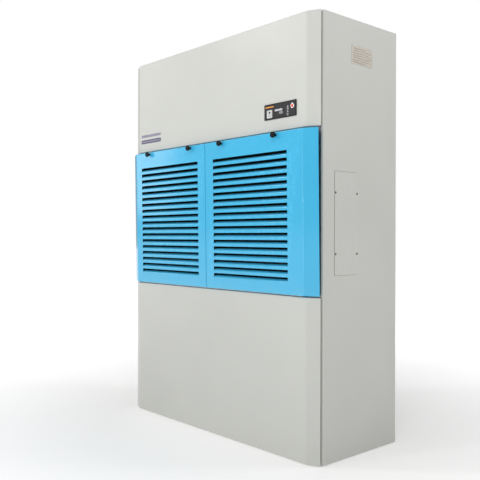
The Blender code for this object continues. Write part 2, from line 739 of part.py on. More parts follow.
def build_compressor():
    x, distance = COMPRESSOR_PLACE
    foot = BASE_BOTTOM + BASE_THICK + GAP
    r, top = COMPRESSOR_RADIUS, foot + COMPRESSOR_HEIGHT
    profile = [(0.0, top), (0.035, top - 0.003), (0.065, top - 0.014), (r, top - 0.045),
               (r, foot + 0.060), (r - 0.006, foot + 0.036), (0.0, foot + 0.028)]
    shell = turned("compressor", profile, black_steel)
    shell.location = (x, deep(distance), 0.0)
    y = deep(distance)
    join(shell, block("compressor_plate", (x - 0.095, y - 0.095, foot + 0.020),
                      (x + 0.095, y + 0.095, foot + 0.040), black_steel))
    for number, (dx, dy) in enumerate(((-1, -1), (1, -1), (-1, 1), (1, 1))):
        mount = turned(f"compressor_mount_{number}", rod_profile(0.014, foot + 0.030, foot), rubber)
        mount.location = (x + dx * 0.075, y + dy * 0.075, 0.0)
        join(shell, mount)
    hole(shell, "compressor_hollow", r - 0.016, (x, y, foot + 0.160), "up", 0.360)
    return top


def build_pipes(top):
    """Suction, discharge and liquid lines between the compressor and the coils' headers."""
    x, y = COMPRESSOR_PLACE[0], deep(COMPRESSOR_PLACE[1])
    cold = deep(sum(EVAPORATOR_DEPTH) / 2)
    warm = deep(sum(CONDENSER_DEPTH) / 2)
    end = COIL_HALF - 0.004 + HEADER_RADIUS + GAP
    pipe("discharge_pipe", [(x, y, top + GAP), (x, y, top + 0.09), (PIPE_X, y, top + 0.09),
                            (PIPE_X, y, 1.180), (PIPE_X, warm, 1.180), (PIPE_X - 0.001, warm, 1.100),
                            (end, warm, 1.100)], 0.0055, copper, 0.020)
    side = x + COMPRESSOR_RADIUS + GAP
    pipe("suction_pipe", [(side, y, 0.150), (PIPE_X, y, 0.150), (PIPE_X, y - 0.020, 0.520),
                          (PIPE_X, cold, 0.560), (PIPE_X, cold, 0.800), (end, cold, 0.800)],
         0.0075, copper, 0.018)
    pipe("liquid_pipe", [(end, warm, 0.740), (PIPE_X, warm, 0.740), (PIPE_X, warm, 0.900),
                         (PIPE_X, cold, 0.900), (PIPE_X, cold, 1.150), (end, cold, 1.150)],
         0.0045, copper, 0.012)


# Blowers --------------------------------------------------------------------------------

def scroll_outline():
    """A scroll round the fan's axis, opening upwards into a straight neck."""
    y0, z0 = deep(FAN_DEPTH), FAN_Z
    steps = 20
    sweep = TONGUE_ANGLE + math.pi
    points = []
    for step in range(steps + 1):
        t = step / steps
        angle = TONGUE_ANGLE - sweep * t
        radius = SCROLL_SMALL + (SCROLL_LARGE - SCROLL_SMALL) * t
        points.append((y0 + radius * math.cos(angle), z0 + radius * math.sin(angle)))
    return points + [(y0 - SCROLL_LARGE, SCROLL_TOP), (points[0][0], SCROLL_TOP)]


def build_blower(side, centre):
    half = SCROLL_HALF_WIDTH
    housing = pan(f"blower_housing_{side}", scroll_outline(), "X", (centre - half, centre + half),
                  (0, 0, 1), zinc, 0.0)
    hole(housing, f"blower_eye_{side}", SCROLL_EYE, (centre, deep(FAN_DEPTH), FAN_Z), "right",
         2 * half + 0.02)


def build_impeller(side, centre):
    """A drum impeller: two rims, a middle plate on a hub, and blades between the rims."""
    place = (centre, deep(FAN_DEPTH), FAN_Z)
    outer, inner, half = IMPELLER_RADIUS, IMPELLER_RADIUS - 0.020, IMPELLER_HALF
    bore = SHAFT_RADIUS + GAP
    wheel = turned(f"impeller_{side}", [(bore, 0.020), (0.022, 0.020), (0.022, 0.002),
                                        (inner + 0.010, 0.002), (inner + 0.010, -0.002),
                                        (0.022, -0.002), (0.022, -0.020), (bore, -0.020)],
                   zinc, "right", ring=True)
    wheel.location = place
    for end, z in (("a", half), ("b", -half)):
        low = z - 0.003
        rim = turned(f"impeller_rim_{side}_{end}", [(inner, low + 0.003), (outer, low + 0.003),
                                                   (outer, low), (inner, low)],
                     zinc, "right", ring=True)
        rim.location = place
        join(wheel, rim)
    bm = bmesh.new()
    for number in range(IMPELLER_BLADES):
        angle = 2 * math.pi * number / IMPELLER_BLADES
        outline = [Vector((inner + 0.002, 0.0)), Vector((outer - 0.003, 0.007)),
                   Vector((outer - 0.003, 0.0085)), Vector((inner + 0.002, 0.0015))]
        turn = [(p.x * math.cos(angle) - p.y * math.sin(angle),
                 p.x * math.sin(angle) + p.y * math.cos(angle)) for p in outline]
        base = bm.faces.new([bm.verts.new((u, v, -half - 0.001)) for u, v in turn])
        made = bmesh.ops.extrude_face_region(bm, geom=[base], use_keep_orig=True)
        moved = [v for v in made["geom"] if isinstance(v, bmesh.types.BMVert)]
        bmesh.ops.translate(bm, verts=moved, vec=(0.0, 0.0, 2 * half - 0.001))
    bmesh.ops.recalc_face_normals(bm, faces=bm.faces)
    blades = add_object(f"impeller_blades_{side}", bm, zinc)
    blades.rotation_euler = (0.0, math.pi / 2, 0.0)
    blades.location = place
    join(wheel, blades)


def build_drive():
    """The motor on its pedestal, and the shaft that runs through both impellers."""
    place = (0.0, deep(FAN_DEPTH), FAN_Z)
    shaft = turned("fan_shaft", rod_profile(SHAFT_RADIUS, SHAFT_HALF, -SHAFT_HALF), steel, "right")
    shaft.location = place
    r, half, bore = MOTOR_RADIUS, MOTOR_HALF, SHAFT_RADIUS + 0.0006
    profile = [(bore, half), (0.020, half), (0.024, half - 0.010), (r - 0.012, half - 0.014),
               (r, half - 0.026), (r, 0.026 - half), (r - 0.012, 0.014 - half),
               (0.024, 0.010 - half), (0.020, -half), (bore, -half)]
    motor = turned("fan_motor", profile, black_steel, "right", ring=True)
    motor.location = place
    y, foot = place[1], DECK_Z + POST_STEEL + GAP
    pedestal = [(y - 0.055, foot), (y + 0.055, foot), (y + 0.055, foot + 0.004),
                (y + 0.030, foot + 0.030), (y + 0.030, FAN_Z - 0.045), (y - 0.030, FAN_Z - 0.045),
                (y - 0.030, foot + 0.030), (y - 0.055, foot + 0.004)]
    join(motor, prism("motor_pedestal", pedestal, "X", -0.050, 0.050, black_steel))


def build_gland():
    """A cable gland with an open bore: thread, hexagon and domed cap."""
    x, z = GLAND_PLACE
    face = deep(SIDE_END) - 0.0005 + GAP
    ring = [(GLAND_BORE, 0.016), (0.0095, 0.0155), (0.0115, 0.011), (0.0115, 0.004),
            (0.0084, 0.004), (0.0084, -0.014), (GLAND_BORE, -0.014)]
    gland = turned("cable_gland", ring, black, "back", ring=True)
    gland.location = (x, face, z)
    bm = bmesh.new()
    bmesh.ops.create_cone(bm, cap_ends=True, segments=6, radius1=0.0145, radius2=0.0145,
                          depth=0.006)
    hexagon = add_object("gland_hexagon", bm, black)
    hexagon.rotation_euler = (-math.pi / 2, 0.0, 0.0)
    hexagon.location = (x, face + 0.003, z)
    hole(hexagon, "gland_bore", GLAND_BORE + 0.002, (x, face, z), "front", 0.05)
    join(gland, hexagon)


clear_scene()
parts = make_collection("dehumidifier")
cutters = make_collection("cutters")

grey = make_material("grey_paint", (0.62, 0.63, 0.60), 0.35)
blue = make_material("blue_paint", (0.08, 0.44, 0.76), 0.25)
black = make_material("black_plastic", (0.015, 0.015, 0.016), 0.45)
dark = make_material("dark_plate", (0.06, 0.06, 0.07), 0.40)
white = make_material("white_plastic", (0.80, 0.80, 0.80), 0.40)
lens = make_material("display_lens", (0.70, 0.70, 0.85), 0.20)
red = make_material("red_plastic", (0.75, 0.08, 0.02), 0.30)
silver = make_material("silver_plastic", (0.45, 0.45, 0.48), 0.35)
chrome = make_material("chrome", (0.85, 0.85, 0.86), 0.12, 1.0)
zinc = make_material("zinc_steel", (0.55, 0.56, 0.57), 0.45, 1.0)
steel = make_material("bright_steel", (0.60, 0.60, 0.60), 0.30, 1.0)
brushed = make_material("brushed_plate", (0.62, 0.60, 0.54), 0.35, 1.0)
black_steel = make_material("black_steel", (0.02, 0.02, 0.02), 0.40)
copper = make_material("copper", (0.72, 0.35, 0.20), 0.30, 1.0)
fins = make_material("fins", (0.70, 0.71, 0.72), 0.40, 1.0)
green = make_material("board_green", (0.02, 0.20, 0.08), 0.40)
rubber = make_material("rubber", (0.03, 0.03, 0.03), 0.80)
plastic = make_material("grille_plastic", (0.10, 0.10, 0.11), 0.45)

build_base()
build_posts()
build_rails()
build_deck()
build_sides()
build_cover()
build_front()
build_rear()
build_top()
for panel_side in ("left", "right"):
    build_intake(panel_side)
build_controls()
build_electrics()
build_coil("evaporator", EVAPORATOR_DEPTH, fins)
build_coil("condenser", CONDENSER_DEPTH, fins)
build_drain()
build_pipes(build_compressor())
for blower_side, blower_x in (("left", -OUTLET_X), ("right", OUTLET_X)):
    build_blower(blower_side, blower_x)
    build_impeller(blower_side, blower_x)
build_drive()
build_gland()
for part in parts.objects:
    if part.type == "MESH":
        shade_round(part)
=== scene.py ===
"""Looks of the commercial dehumidifier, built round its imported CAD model.

The big sheet panels, louvres, knobs, controls, grilles, filters and coils are made again here
with rolled bends and fine edges, and every CAD node that stays gets a procedural material.
Units are metres, +Z is up and -Y is the front.
"""
import json
import math

import bmesh
import bpy
from mathutils import Matrix, Vector


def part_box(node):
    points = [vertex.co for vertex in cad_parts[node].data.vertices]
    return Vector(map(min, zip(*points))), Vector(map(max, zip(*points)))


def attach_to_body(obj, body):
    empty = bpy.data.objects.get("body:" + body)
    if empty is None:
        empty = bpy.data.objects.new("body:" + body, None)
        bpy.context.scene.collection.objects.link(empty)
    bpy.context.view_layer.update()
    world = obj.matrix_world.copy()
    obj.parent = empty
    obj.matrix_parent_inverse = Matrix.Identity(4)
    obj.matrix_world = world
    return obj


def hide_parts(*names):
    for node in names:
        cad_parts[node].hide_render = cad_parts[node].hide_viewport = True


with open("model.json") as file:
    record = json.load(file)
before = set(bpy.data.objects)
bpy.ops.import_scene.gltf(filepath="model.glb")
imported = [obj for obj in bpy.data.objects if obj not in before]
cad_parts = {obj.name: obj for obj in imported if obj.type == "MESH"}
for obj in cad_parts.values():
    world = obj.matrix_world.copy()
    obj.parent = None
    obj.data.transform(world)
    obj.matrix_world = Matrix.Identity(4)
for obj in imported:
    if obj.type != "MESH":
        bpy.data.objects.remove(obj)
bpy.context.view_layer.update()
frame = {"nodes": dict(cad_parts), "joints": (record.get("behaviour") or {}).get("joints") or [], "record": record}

SKIN = 0.0012          # the sheet's thickness
HAIR = 0.0003          # a gap or step that keeps two faces apart
CLEARANCE = 0.0004     # round a button in its hole
PAST = 0.01            # how far a cutter reaches past what it cuts
EVEN = (1.0, 1.0, 1.0)
WHITE = (1.0, 1.0, 1.0, 1.0)

# Front panels: the slope at each end, and how far the sheet is rolled at its bends.
SLOPE_WIDTH = 0.054
SLOPE_DEPTH = 0.0241
PANEL_BEND = 0.0030
SLOPE_BEND = 0.0030
SIDE_BEND = 0.0045
PAN_TUCK = 0.009

# Intake panels, in the frame of their hinge: y from the face, z from the lower edge.
INTAKE_TILT = math.asin(0.0105 / 0.646)
INTAKE_HEIGHT = 0.646
INTAKE_DEPTH = 0.034
INTAKE_FLAT_HALF = 0.573
INTAKE_SLOPE_DEPTH = 0.028
INTAKE_OUTER = 0.6305
SEAM_X = -0.0215
SEAM_GAP = 0.002
LOUVRE_COUNT = 18
LOUVRE_PITCH = 0.0295
LOUVRE_SLOT = 0.020
LOUVRE_FIRST = 0.048
LOUVRE_ANGLE = math.radians(66.0)
LOUVRE_ROLL = 0.007
LOUVRE_SIDE_GAP = 0.0008
# Dark foam strips beside the louvres' ends, placed as painted shade: how far out they stand and how wide they are.
SHADE_FOAM_OUT = 0.012
SHADE_FOAM_WIDE = 0.009
LOUVRE_SPANS = {"left": (-0.527, -0.074), "right": (0.034, 0.489)}
KNOB_PLACES = {"knob_1": -0.455, "knob_2": -0.127, "knob_3": 0.093, "knob_4": 0.427}
KNOB_Z = 0.634
KNOB_HOLE = 0.0036

# Cabinet panels: how far the service cover's dark rubber rim, a painted shadow line, reaches past it, and the
# screws' distance from the panels' edges.
RUBBER_SHADE_RIM = 0.0007
SCREW_INSET = 0.020
BADGE_X = (-0.559, -0.390)
BADGE_BAR = (1.3493, 1.3677)
BADGE_RULE = (1.3800, 1.3930)

# Control plate marks, as shares of the plate's width from its left and of its height from its top.
MARK_BAR = (0.163, 0.186, 0.27, 0.085)
ICON_COLUMN = 0.741
ICON_ROWS = (0.351, 0.484, 0.644, 0.824)
SIGN_DROP = 0.0056
SIGN_RULE = 0.014

# Camera, from a fit of the view to the cabinet's corners.
CAMERA_PLACE = (2.342, -2.164, 0.883)
CAMERA_YAW = 48.16
CAMERA_PITCH = -0.31
CAMERA_ROLL = 0.092
CAMERA_LENS = 50.70

# Light: the grey surround, and each soft lamp's place, target, size and power in watts.
AMBIENT = 0.33
LAMPS = {
    "ceiling": ((-0.2, -3.0, 4.0), (0.0, -0.2, 1.0), (3.2, 1.6), 6.0),
    "front": ((2.5, -2.7, 3.5), (0.3, -0.2, 1.1), (2.0, 1.4), 36.0),
    "strip": ((-0.9, -4.8, 2.0), (0.3, -0.2, 1.2), (0.30, 3.4), 27.0),
    "window_1": ((-8.2, -5.0, 2.8), (0.0, -0.2, 1.2), (1.8, 3.4), 44.0),
    "window_2": ((-4.8, -5.2, 4.8), (0.0, -0.2, 1.2), (1.2, 2.4), 90.0),
    "side": ((2.6, 2.2, 3.6), (0.6, 0.1, 1.5), (1.2, 1.2), 25.0),
}


# --- Materials ---

def fill(node, **values):
    """Set a node's sockets by name, with _ for each space."""
    for name, value in values.items():
        node.inputs[name.replace("_", " ")].default_value = value
    return node


def tone(colour, share, lift=0.0):
    return tuple(min(c * share + lift, 1.0) for c in colour)


class Look:
    """A Principled material with its colour, roughness and bump built up in steps."""

    def __init__(self, name, colour, roughness, metallic=0.0):
        self.material = bpy.data.materials.new(name)
        self.material.use_nodes = True
        self.tree = self.material.node_tree
        self.roughness = roughness
        self.colour = None
        self.base = (*colour, 1.0)
        self.shader = fill(self.tree.nodes["Principled BSDF"], Metallic=metallic,
                           Roughness=roughness, Base_Color=self.base)
        self.normal = None
        self.place = self.add("TexCoord").outputs["Object"]

    def add(self, kind, **values):
        return fill(self.tree.nodes.new("ShaderNode" + kind), **values)

    def link(self, source, target):
        self.tree.links.new(source, target)

    def noise(self, scale, detail=2.0, stretch=EVEN):
        """Noise in the piece's own space, from 0 to 1."""
        mapping = self.add("Mapping", Scale=stretch)
        self.link(self.place, mapping.inputs["Vector"])
        node = self.add("TexNoise", Scale=scale, Detail=detail)
        self.link(mapping.outputs["Vector"], node.inputs["Vector"])
        return node.outputs["Fac"]

    def remap(self, value, low, high, new_low=0.0, new_high=1.0):
        node = self.add("MapRange", From_Min=low, From_Max=high, To_Min=new_low, To_Max=new_high)
        self.link(value, node.inputs["Value"])
        return node.outputs["Result"]

    def times(self, first, second):
        node = self.add("Math")
        node.operation = "MULTIPLY"
        self.link(first, node.inputs[0])
        self.link(second, node.inputs[1])
        return node.outputs[0]

    def blend(self, amount, colour):
        """Lay a colour over what is there, as far as a 0 to 1 amount says."""
        node = self.add("Mix")
        node.data_type = "RGBA"
        self.link(amount, node.inputs["Factor"])
        if self.colour is None:
            fill(node, A=self.base)
        else:
            self.link(self.colour, node.inputs["A"])
        fill(node, B=(*colour, 1.0))
        self.colour = node.outputs["Result"]
        self.link(self.colour, self.shader.inputs["Base Color"])
        return self

    def shades(self, value, darker, lighter):
        """Vary the colour between two strengths of itself."""
        self.blend(self.remap(value, 0.35, 0.5, 1.0, 0.0), tone(self.base[:3], darker))
        return self.blend(self.remap(value, 0.5, 0.65), tone(self.base[:3], lighter))

    def rough(self, value, spread):
        self.link(self.remap(value, 0.3, 0.7, self.roughness - spread, self.roughness + spread),
                  self.shader.inputs["Roughness"])
        return self

    def bump(self, height, strength, distance):
        node = self.add("Bump", Strength=strength, Distance=distance)
        self.link(height, node.inputs["Height"])
        if self.normal is not None:
            self.link(self.normal, node.inputs["Normal"])
        self.normal = node.outputs["Normal"]
        self.link(self.normal, self.shader.inputs["Normal"])
        return self

    def height(self):
        """The piece's height above its own origin, in metres."""
        node = self.add("SeparateXYZ")
        self.link(self.place, node.inputs["Vector"])
        return node.outputs["Z"]

    def edges(self):
        """1 on outer edges, 0 elsewhere."""
        return self.remap(self.add("NewGeometry").outputs["Pointiness"], 0.53, 0.62)


def powder_coat(name, colour, roughness, coat, peel, shine=0.5):
    """Baked paint on sheet steel: faint mottling, orange peel, soft waves, dust low down, and edges painted
    lighter, partly edge wear and partly a painted highlight.
    """
    look = Look(name, colour, roughness)
    look.shades(look.noise(1.7, 3.0), 0.975, 1.02)
    look.blend(look.remap(look.noise(950.0, 1.0), 0.62, 0.80, 0.0, 0.10), tone(colour, 0.80))
    dust = look.times(look.remap(look.height(), 0.08, 0.0, 0.0, 0.06),
                      look.remap(look.noise(22.0, 5.0), 0.40, 0.70))
    look.blend(dust, (0.36, 0.34, 0.30))
    scuffs = look.remap(look.noise(16.0, 6.0, (1.0, 1.0, 0.12)), 0.66, 0.78, 0.0, 0.05)
    look.blend(scuffs, tone(colour, 1.25))
    # Lighter edges: partly edge wear, partly a painted highlight on the bends.
    look.blend(look.times(look.edges(), look.remap(look.noise(60.0, 3.0), 0.45, 0.70, 0.0, 0.45)),
               tone(colour, 1.2, 0.05))
    look.rough(look.noise(9.0, 4.0), 0.05)
    look.bump(look.noise(2.6, 1.0), 0.25, 0.0035)
    look.bump(look.noise(peel, 2.0), 0.10, 0.0004)
    fill(look.shader, Specular_IOR_Level=shine, Coat_Weight=coat, Coat_Roughness=0.11)
    return look.material


def moulded(name, colour, roughness, grain=900.0, coat=0.0, shine=0.5):
    """Moulded plastic with a fine grain, a little varied roughness, and a painted highlight along its edges."""
    look = Look(name, colour, roughness)
    look.shades(look.noise(35.0, 4.0), 0.90, 1.12)
    # Painted highlight: the edges are painted lighter than the plastic.
    look.blend(look.times(look.edges(), look.remap(look.noise(180.0), 0.4, 0.7, 0.0, 0.5)),
               tone(colour, 1.6, 0.02))
    look.rough(look.noise(120.0, 3.0), 0.07)
    look.bump(look.noise(grain, 2.0), 0.12, 0.0003)
    fill(look.shader, Specular_IOR_Level=shine, Coat_Weight=coat)
    return look.material


def galvanised(name, colour, roughness):
    """Zinc-coated sheet: large dull and bright spangles under fine rolling lines."""
    look = Look(name, colour, roughness, 1.0)
    spangle = look.add("TexVoronoi", Scale=90.0)
    look.link(look.place, spangle.inputs["Vector"])
    tone = look.add("SeparateColor")
    look.link(spangle.outputs["Color"], tone.inputs["Color"])
    look.shades(look.remap(tone.outputs["Red"], 0.0, 1.0, 0.36, 0.64), 0.82, 1.12)
    look.blend(look.remap(look.noise(7.0, 5.0), 0.55, 0.80, 0.0, 0.35), (0.42, 0.41, 0.39))
    look.rough(tone.outputs["Green"], 0.10)
    look.bump(look.noise(300.0, 2.0), 0.08, 0.0002)
    return look.material


def brushed(name, colour, roughness, stretch=EVEN, metallic=1.0):
    """Brushed metal: long fine scratches along one direction."""
    look = Look(name, colour, roughness, metallic)
    lines = look.noise(420.0, 3.0, stretch)
    look.shades(lines, 0.82, 1.15)
    look.rough(lines, 0.09)
    look.bump(lines, 0.10, 0.0001)
    return look.material


def copper_tube():
    look = Look("copper_tube", (0.78, 0.40, 0.24), 0.28, 1.0)
    look.shades(look.noise(30.0, 4.0), 0.70, 1.10)
    look.blend(look.remap(look.noise(14.0, 5.0), 0.58, 0.72, 0.0, 0.55), (0.30, 0.15, 0.10))
    look.rough(look.noise(60.0, 3.0), 0.10)
    look.bump(look.noise(500.0), 0.05, 0.0001)
    return look.material


def fin_foil():
    look = Look("fin_foil", (0.78, 0.79, 0.80), 0.38, 1.0)
    look.shades(look.noise(12.0, 4.0), 0.80, 1.08)
    look.blend(look.remap(look.noise(45.0, 4.0), 0.60, 0.75, 0.0, 0.30), (0.38, 0.37, 0.35))
    look.rough(look.noise(80.0, 2.0), 0.08)
    look.bump(look.noise(260.0, 1.0, (1.0, 1.0, 6.0)), 0.15, 0.0003)
    return look.material


def filter_cloth():
    """A black woven screen: two crossed sets of threads, with the holes between them painted darker as painted
    shade.
    """
    # Near-black: partly the screen's own black, partly painted shade so the slots in front of it read as deep
    # shade.
    look = Look("filter_cloth", (0.006, 0.006, 0.007), 0.90)
    waves = []
    for direction in ("X", "Z"):
        wave = look.add("TexWave", Scale=160.0)
        wave.bands_direction = direction
        look.link(look.place, wave.inputs["Vector"])
        waves.append(wave.outputs["Fac"])
    weave = look.times(*waves)
    # Painted shade: the holes between the threads are painted near-black.
    look.blend(look.remap(weave, 0.1, 0.7), (0.001, 0.001, 0.001))
    look.blend(look.remap(look.noise(6.0, 5.0), 0.5, 0.8, 0.0, 0.08), (0.06, 0.055, 0.05))
    look.bump(weave, 0.5, 0.0008)
    look.rough(look.noise(40.0), 0.08)
    fill(look.shader, Specular_IOR_Level=0.05)
    return look.material


def circuit_green():
    look = Look("circuit_green", (0.02, 0.17, 0.07), 0.35)
    look.blend(look.remap(look.noise(260.0, 0.0, (1.0, 1.0, 0.05)), 0.60, 0.62, 0.0, 0.6),
               (0.05, 0.30, 0.12))
    look.blend(look.remap(look.noise(180.0, 0.0), 0.74, 0.76), (0.60, 0.55, 0.40))
    look.rough(look.noise(90.0), 0.06)
    look.bump(look.noise(260.0), 0.10, 0.0002)
    return look.material


def clear_lens():
    """A pale display window, a little lit from behind."""
    look = Look("pale_lens", (0.52, 0.52, 0.56), 0.18)
    look.shades(look.noise(220.0, 2.0), 0.88, 1.10)
    look.rough(look.noise(90.0), 0.04)
    look.bump(look.noise(700.0), 0.03, 0.0001)
    fill(look.shader, Coat_Weight=0.6, Emission_Color=(0.80, 0.80, 0.90, 1.0),
         Emission_Strength=0.05)
    return look.material


def make_materials():
    paints = {
        "grey_paint": ((0.590, 0.597, 0.560), 0.46, 0.06, 330.0),
        "blue_paint": ((0.056, 0.482, 0.780), 0.34, 1.0, 420.0, 0.08),
        "black_steel": ((0.022, 0.022, 0.023), 0.40, 0.2, 300.0),
    }
    plastics = {
        "black_plastic": ((0.003, 0.003, 0.003), 0.30, 900.0, 0.0, 0.16),
        "control_face": ((0.024, 0.024, 0.026), 0.50, 1500.0, 0.0, 0.3),
        "white_plastic": ((0.60, 0.60, 0.60), 0.42),
        "red_plastic": ((0.85, 0.075, 0.015), 0.25, 600.0, 0.5),
        "silver_plastic": ((0.24, 0.24, 0.25), 0.36),
        "pad_rubber": ((0.028, 0.028, 0.028), 0.82, 400.0),
        "grille_plastic": ((0.055, 0.055, 0.060), 0.48),
        "navy_print": ((0.060, 0.050, 0.130), 0.40, 1200.0),
        "violet_print": ((0.27, 0.25, 0.34), 0.45, 1200.0),
        "orange_print": ((0.72, 0.27, 0.025), 0.45, 1200.0),
        "dark_print": ((0.10, 0.095, 0.090), 0.50, 1200.0),
        "pale_print": ((0.40, 0.40, 0.41), 0.45, 1200.0),
        "label_print": ((0.33, 0.29, 0.25), 0.50, 1200.0),
    }
    metals = {
        "bezel_chrome": ((0.90, 0.90, 0.91), 0.16),
        "bright_steel": ((0.66, 0.66, 0.66), 0.28),
        "nameplate_metal": ((0.60, 0.56, 0.49), 0.48, (1.0, 0.05, 1.0), 0.25),
        "screw_steel": ((0.16, 0.17, 0.17), 0.30),
    }
    made = {
        "filter_mesh": filter_cloth(),
        "display_lens": clear_lens(),
        "zinc_steel": galvanised("zinc_steel", (0.60, 0.61, 0.62), 0.42),
        "fin_aluminium": fin_foil(),
        "copper_pipe": copper_tube(),
        "board_green": circuit_green(),
    }
    for maker, table in ((powder_coat, paints), (moulded, plastics), (brushed, metals)):
        made.update((name, maker(name, *setting)) for name, setting in table.items())
    return made


# --- Mesh helpers ---

def add_object(name, data):
    item = bpy.data.objects.new(name, data)
    bpy.context.scene.collection.objects.link(item)
    return item


def add_mesh(name, bm, material):
    mesh = bpy.data.meshes.new(name)
    bm.to_mesh(mesh)
    bm.free()
    mesh.materials.append(material)
    return add_object(name, mesh)


def new_item(name, bm, look):
    return add_mesh(name, bm, looks[look])


def settle(item, cutters=()):
    """Apply the modifiers, drop the cutters, and shade the rolled edges softly."""
    graph = bpy.context.evaluated_depsgraph_get()
    mesh = bpy.data.meshes.new_from_object(item.evaluated_get(graph))
    item.modifiers.clear()
    item.data = mesh
    for cutter in cutters:
        bpy.data.objects.remove(cutter, do_unlink=True)
    mesh.shade_smooth()
    mesh.set_sharp_from_angle(angle=math.radians(40.0))
    weighted = item.modifiers.new("even_normals", "WEIGHTED_NORMAL")
    weighted.keep_sharp = True
    return item


def attach(item, stands_for=(), body="cabinet"):
    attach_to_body(item, body)
    if stands_for:
        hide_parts(*stands_for)
    return item


def along(axis, a, b, c):
    return {"X": (c, a, b), "Y": (a, c, b), "Z": (a, b, c)}[axis]


def extrude_outline(bm, outline, axis, start, end):
    """Extrude a closed outline along an axis, between two places on it."""
    cap = bm.faces.new([bm.verts.new(along(axis, a, b, start)) for a, b in outline])
    made = bmesh.ops.extrude_face_region(bm, geom=[cap], use_keep_orig=True)
    moved = [v for v in made["geom"] if isinstance(v, bmesh.types.BMVert)]
    bmesh.ops.translate(bm, verts=moved, vec=along(axis, 0.0, 0.0, end - start))
    bmesh.ops.recalc_face_normals(bm, faces=bm.faces)
    return bm


def rounded(centre, size, radius, steps=5):
    """The outline of a rectangle with round corners."""
    half_a, half_b = size[0] / 2 - radius, size[1] / 2 - radius
    points = []
    for quarter, (side_a, side_b) in enumerate(((1, 1), (-1, 1), (-1, -1), (1, -1))):
        for step in range(steps + 1):
            angle = math.pi / 2 * (quarter + step / steps)
            points.append((centre[0] + side_a * half_a + radius * math.cos(angle),
                           centre[1] + side_b * half_b + radius * math.sin(angle)))
    return points


def bevel_edges(item, width, segments=3, angle=30.0):
    bevel = item.modifiers.new("edge", "BEVEL")
    bevel.width = width
    bevel.segments = segments
    bevel.limit_method = "ANGLE"
    bevel.angle_limit = math.radians(angle)
    return item


def boolean(item, other, operation="DIFFERENCE"):
    modifier = item.modifiers.new(operation.lower(), "BOOLEAN")
    modifier.object = other
    modifier.operation = operation
    return other


def block(name, outline, axis, ends, look):
    """An outline extruded between two places on an axis."""
    return new_item(name, extrude_outline(bmesh.new(), outline, axis, *ends), look)


def plate(name, outline, axis, ends, look, edge=0.0004):
    """A flat piece with small rolled edges."""
    return settle(bevel_edges(block(name, outline, axis, ends, look), edge, 2))


def open_face(bm, side):
    """Take out the faces on one side of a closed form."""
    away = [f for f in bm.faces if f.normal.dot(Vector(side)) > 0.99]
    bmesh.ops.delete(bm, geom=away, context="FACES")


def roll_sheet(bm, open_side, radius_of):
    """Leave one side of a closed form open, and roll its edges by the radius that each asks for."""
    open_face(bm, open_side)
    widest = max(radius_of(edge) for edge in bm.edges)
    weights = bm.edges.layers.float.new("bevel_weight_edge")
    for edge in bm.edges:
        inner = len(edge.link_faces) == 2
        edge[weights] = radius_of(edge) / widest if inner else 0.0
    return widest


def sheet_item(name, bm, widest, look):
    """Roll the weighted edges and give the sheet its thickness."""
    item = new_item(name, bm, look)
    roll = item.modifiers.new("roll", "BEVEL")
    roll.limit_method = "WEIGHT"
    roll.width = widest
    roll.segments = 5
    return thicken(item)


def thicken(item):
    """Give a sheet its thickness, inwards from its outer face."""
    skin = item.modifiers.new("skin", "SOLIDIFY")
    skin.thickness = SKIN
    skin.offset = -1.0
    skin.use_even_offset = True
    return item


def is_upright(edge):
    first, second = (v.co for v in edge.verts)
    return abs(first.z - second.z) > 0.1


def lathe(bm, profile, steps, place=Matrix(), flute=None):
    """Turn (radius, height) points round Z. flute gives a radius's share at each angle."""
    rings = []
    for radius, height in profile:
        if radius == 0.0:
            rings.append([bm.verts.new(place @ Vector((0.0, 0.0, height)))])
            continue
        ring = []
        for step in range(steps):
            angle = 2 * math.pi * step / steps
            share = flute(angle, radius, height) if flute else 1.0
            ring.append(bm.verts.new(place @ Vector((radius * share * math.cos(angle),
                                                     radius * share * math.sin(angle), height))))
        rings.append(ring)
    for first, second in zip(rings, rings[1:]):
        for step in range(steps):
            after = (step + 1) % steps
            corners = [first[step % len(first)], second[step % len(second)],
                       second[after % len(second)], first[after % len(first)]]
            unique = list(dict.fromkeys(corners))
            if len(unique) > 2:
                bm.faces.new(unique)
    return bm


def turned(name, profile, steps, place, look, flute=None):
    """A piece turned on a lathe, with every face outwards."""
    bm = lathe(bmesh.new(), profile, steps, place, flute)
    bmesh.ops.remove_doubles(bm, verts=bm.verts, dist=1e-6)
    bmesh.ops.recalc_face_normals(bm, faces=bm.faces)
    return new_item(name, bm, look)


def drill(radius, steps, direction, place, look, reach=0.02):
    """A round cutter through a place, as far to each side as it reaches."""
    profile = [(0.0, reach), (radius, reach), (radius, -reach), (0.0, -reach)]
    return turned("drill", profile, steps, facing(direction, place), look)


def facing(direction, place):
    """A matrix that turns local +Z to a direction and moves the origin to a place."""
    turns = {"up": Matrix(), "front": Matrix.Rotation(math.pi / 2, 4, "X"),
             "back": Matrix.Rotation(-math.pi / 2, 4, "X"),
             "right": Matrix.Rotation(math.pi / 2, 4, "Y"),
             "left": Matrix.Rotation(-math.pi / 2, 4, "Y")}
    return Matrix.Translation(place) @ turns[direction]


def bar(bm, low, high):
    """Add one box between two corners."""
    low, high = Vector(low), Vector(high)
    verts = bmesh.ops.create_cube(bm, size=1.0)["verts"]
    bmesh.ops.scale(bm, vec=high - low, verts=verts)
    bmesh.ops.translate(bm, vec=(high + low) / 2, verts=verts)


def corners_of(node):
    return tuple(Vector(corner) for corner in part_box(node))


def middle_of(node):
    return sum(corners_of(node), Vector()) / 2


def span_of(node, first, second):
    """A node's middle and size along two axes."""
    low, high = corners_of(node)
    pairs = [(getattr(low, axis), getattr(high, axis)) for axis in (first, second)]
    return tuple((a + b) / 2 for a, b in pairs), tuple(b - a for a, b in pairs)


# --- Cabinet panels ---

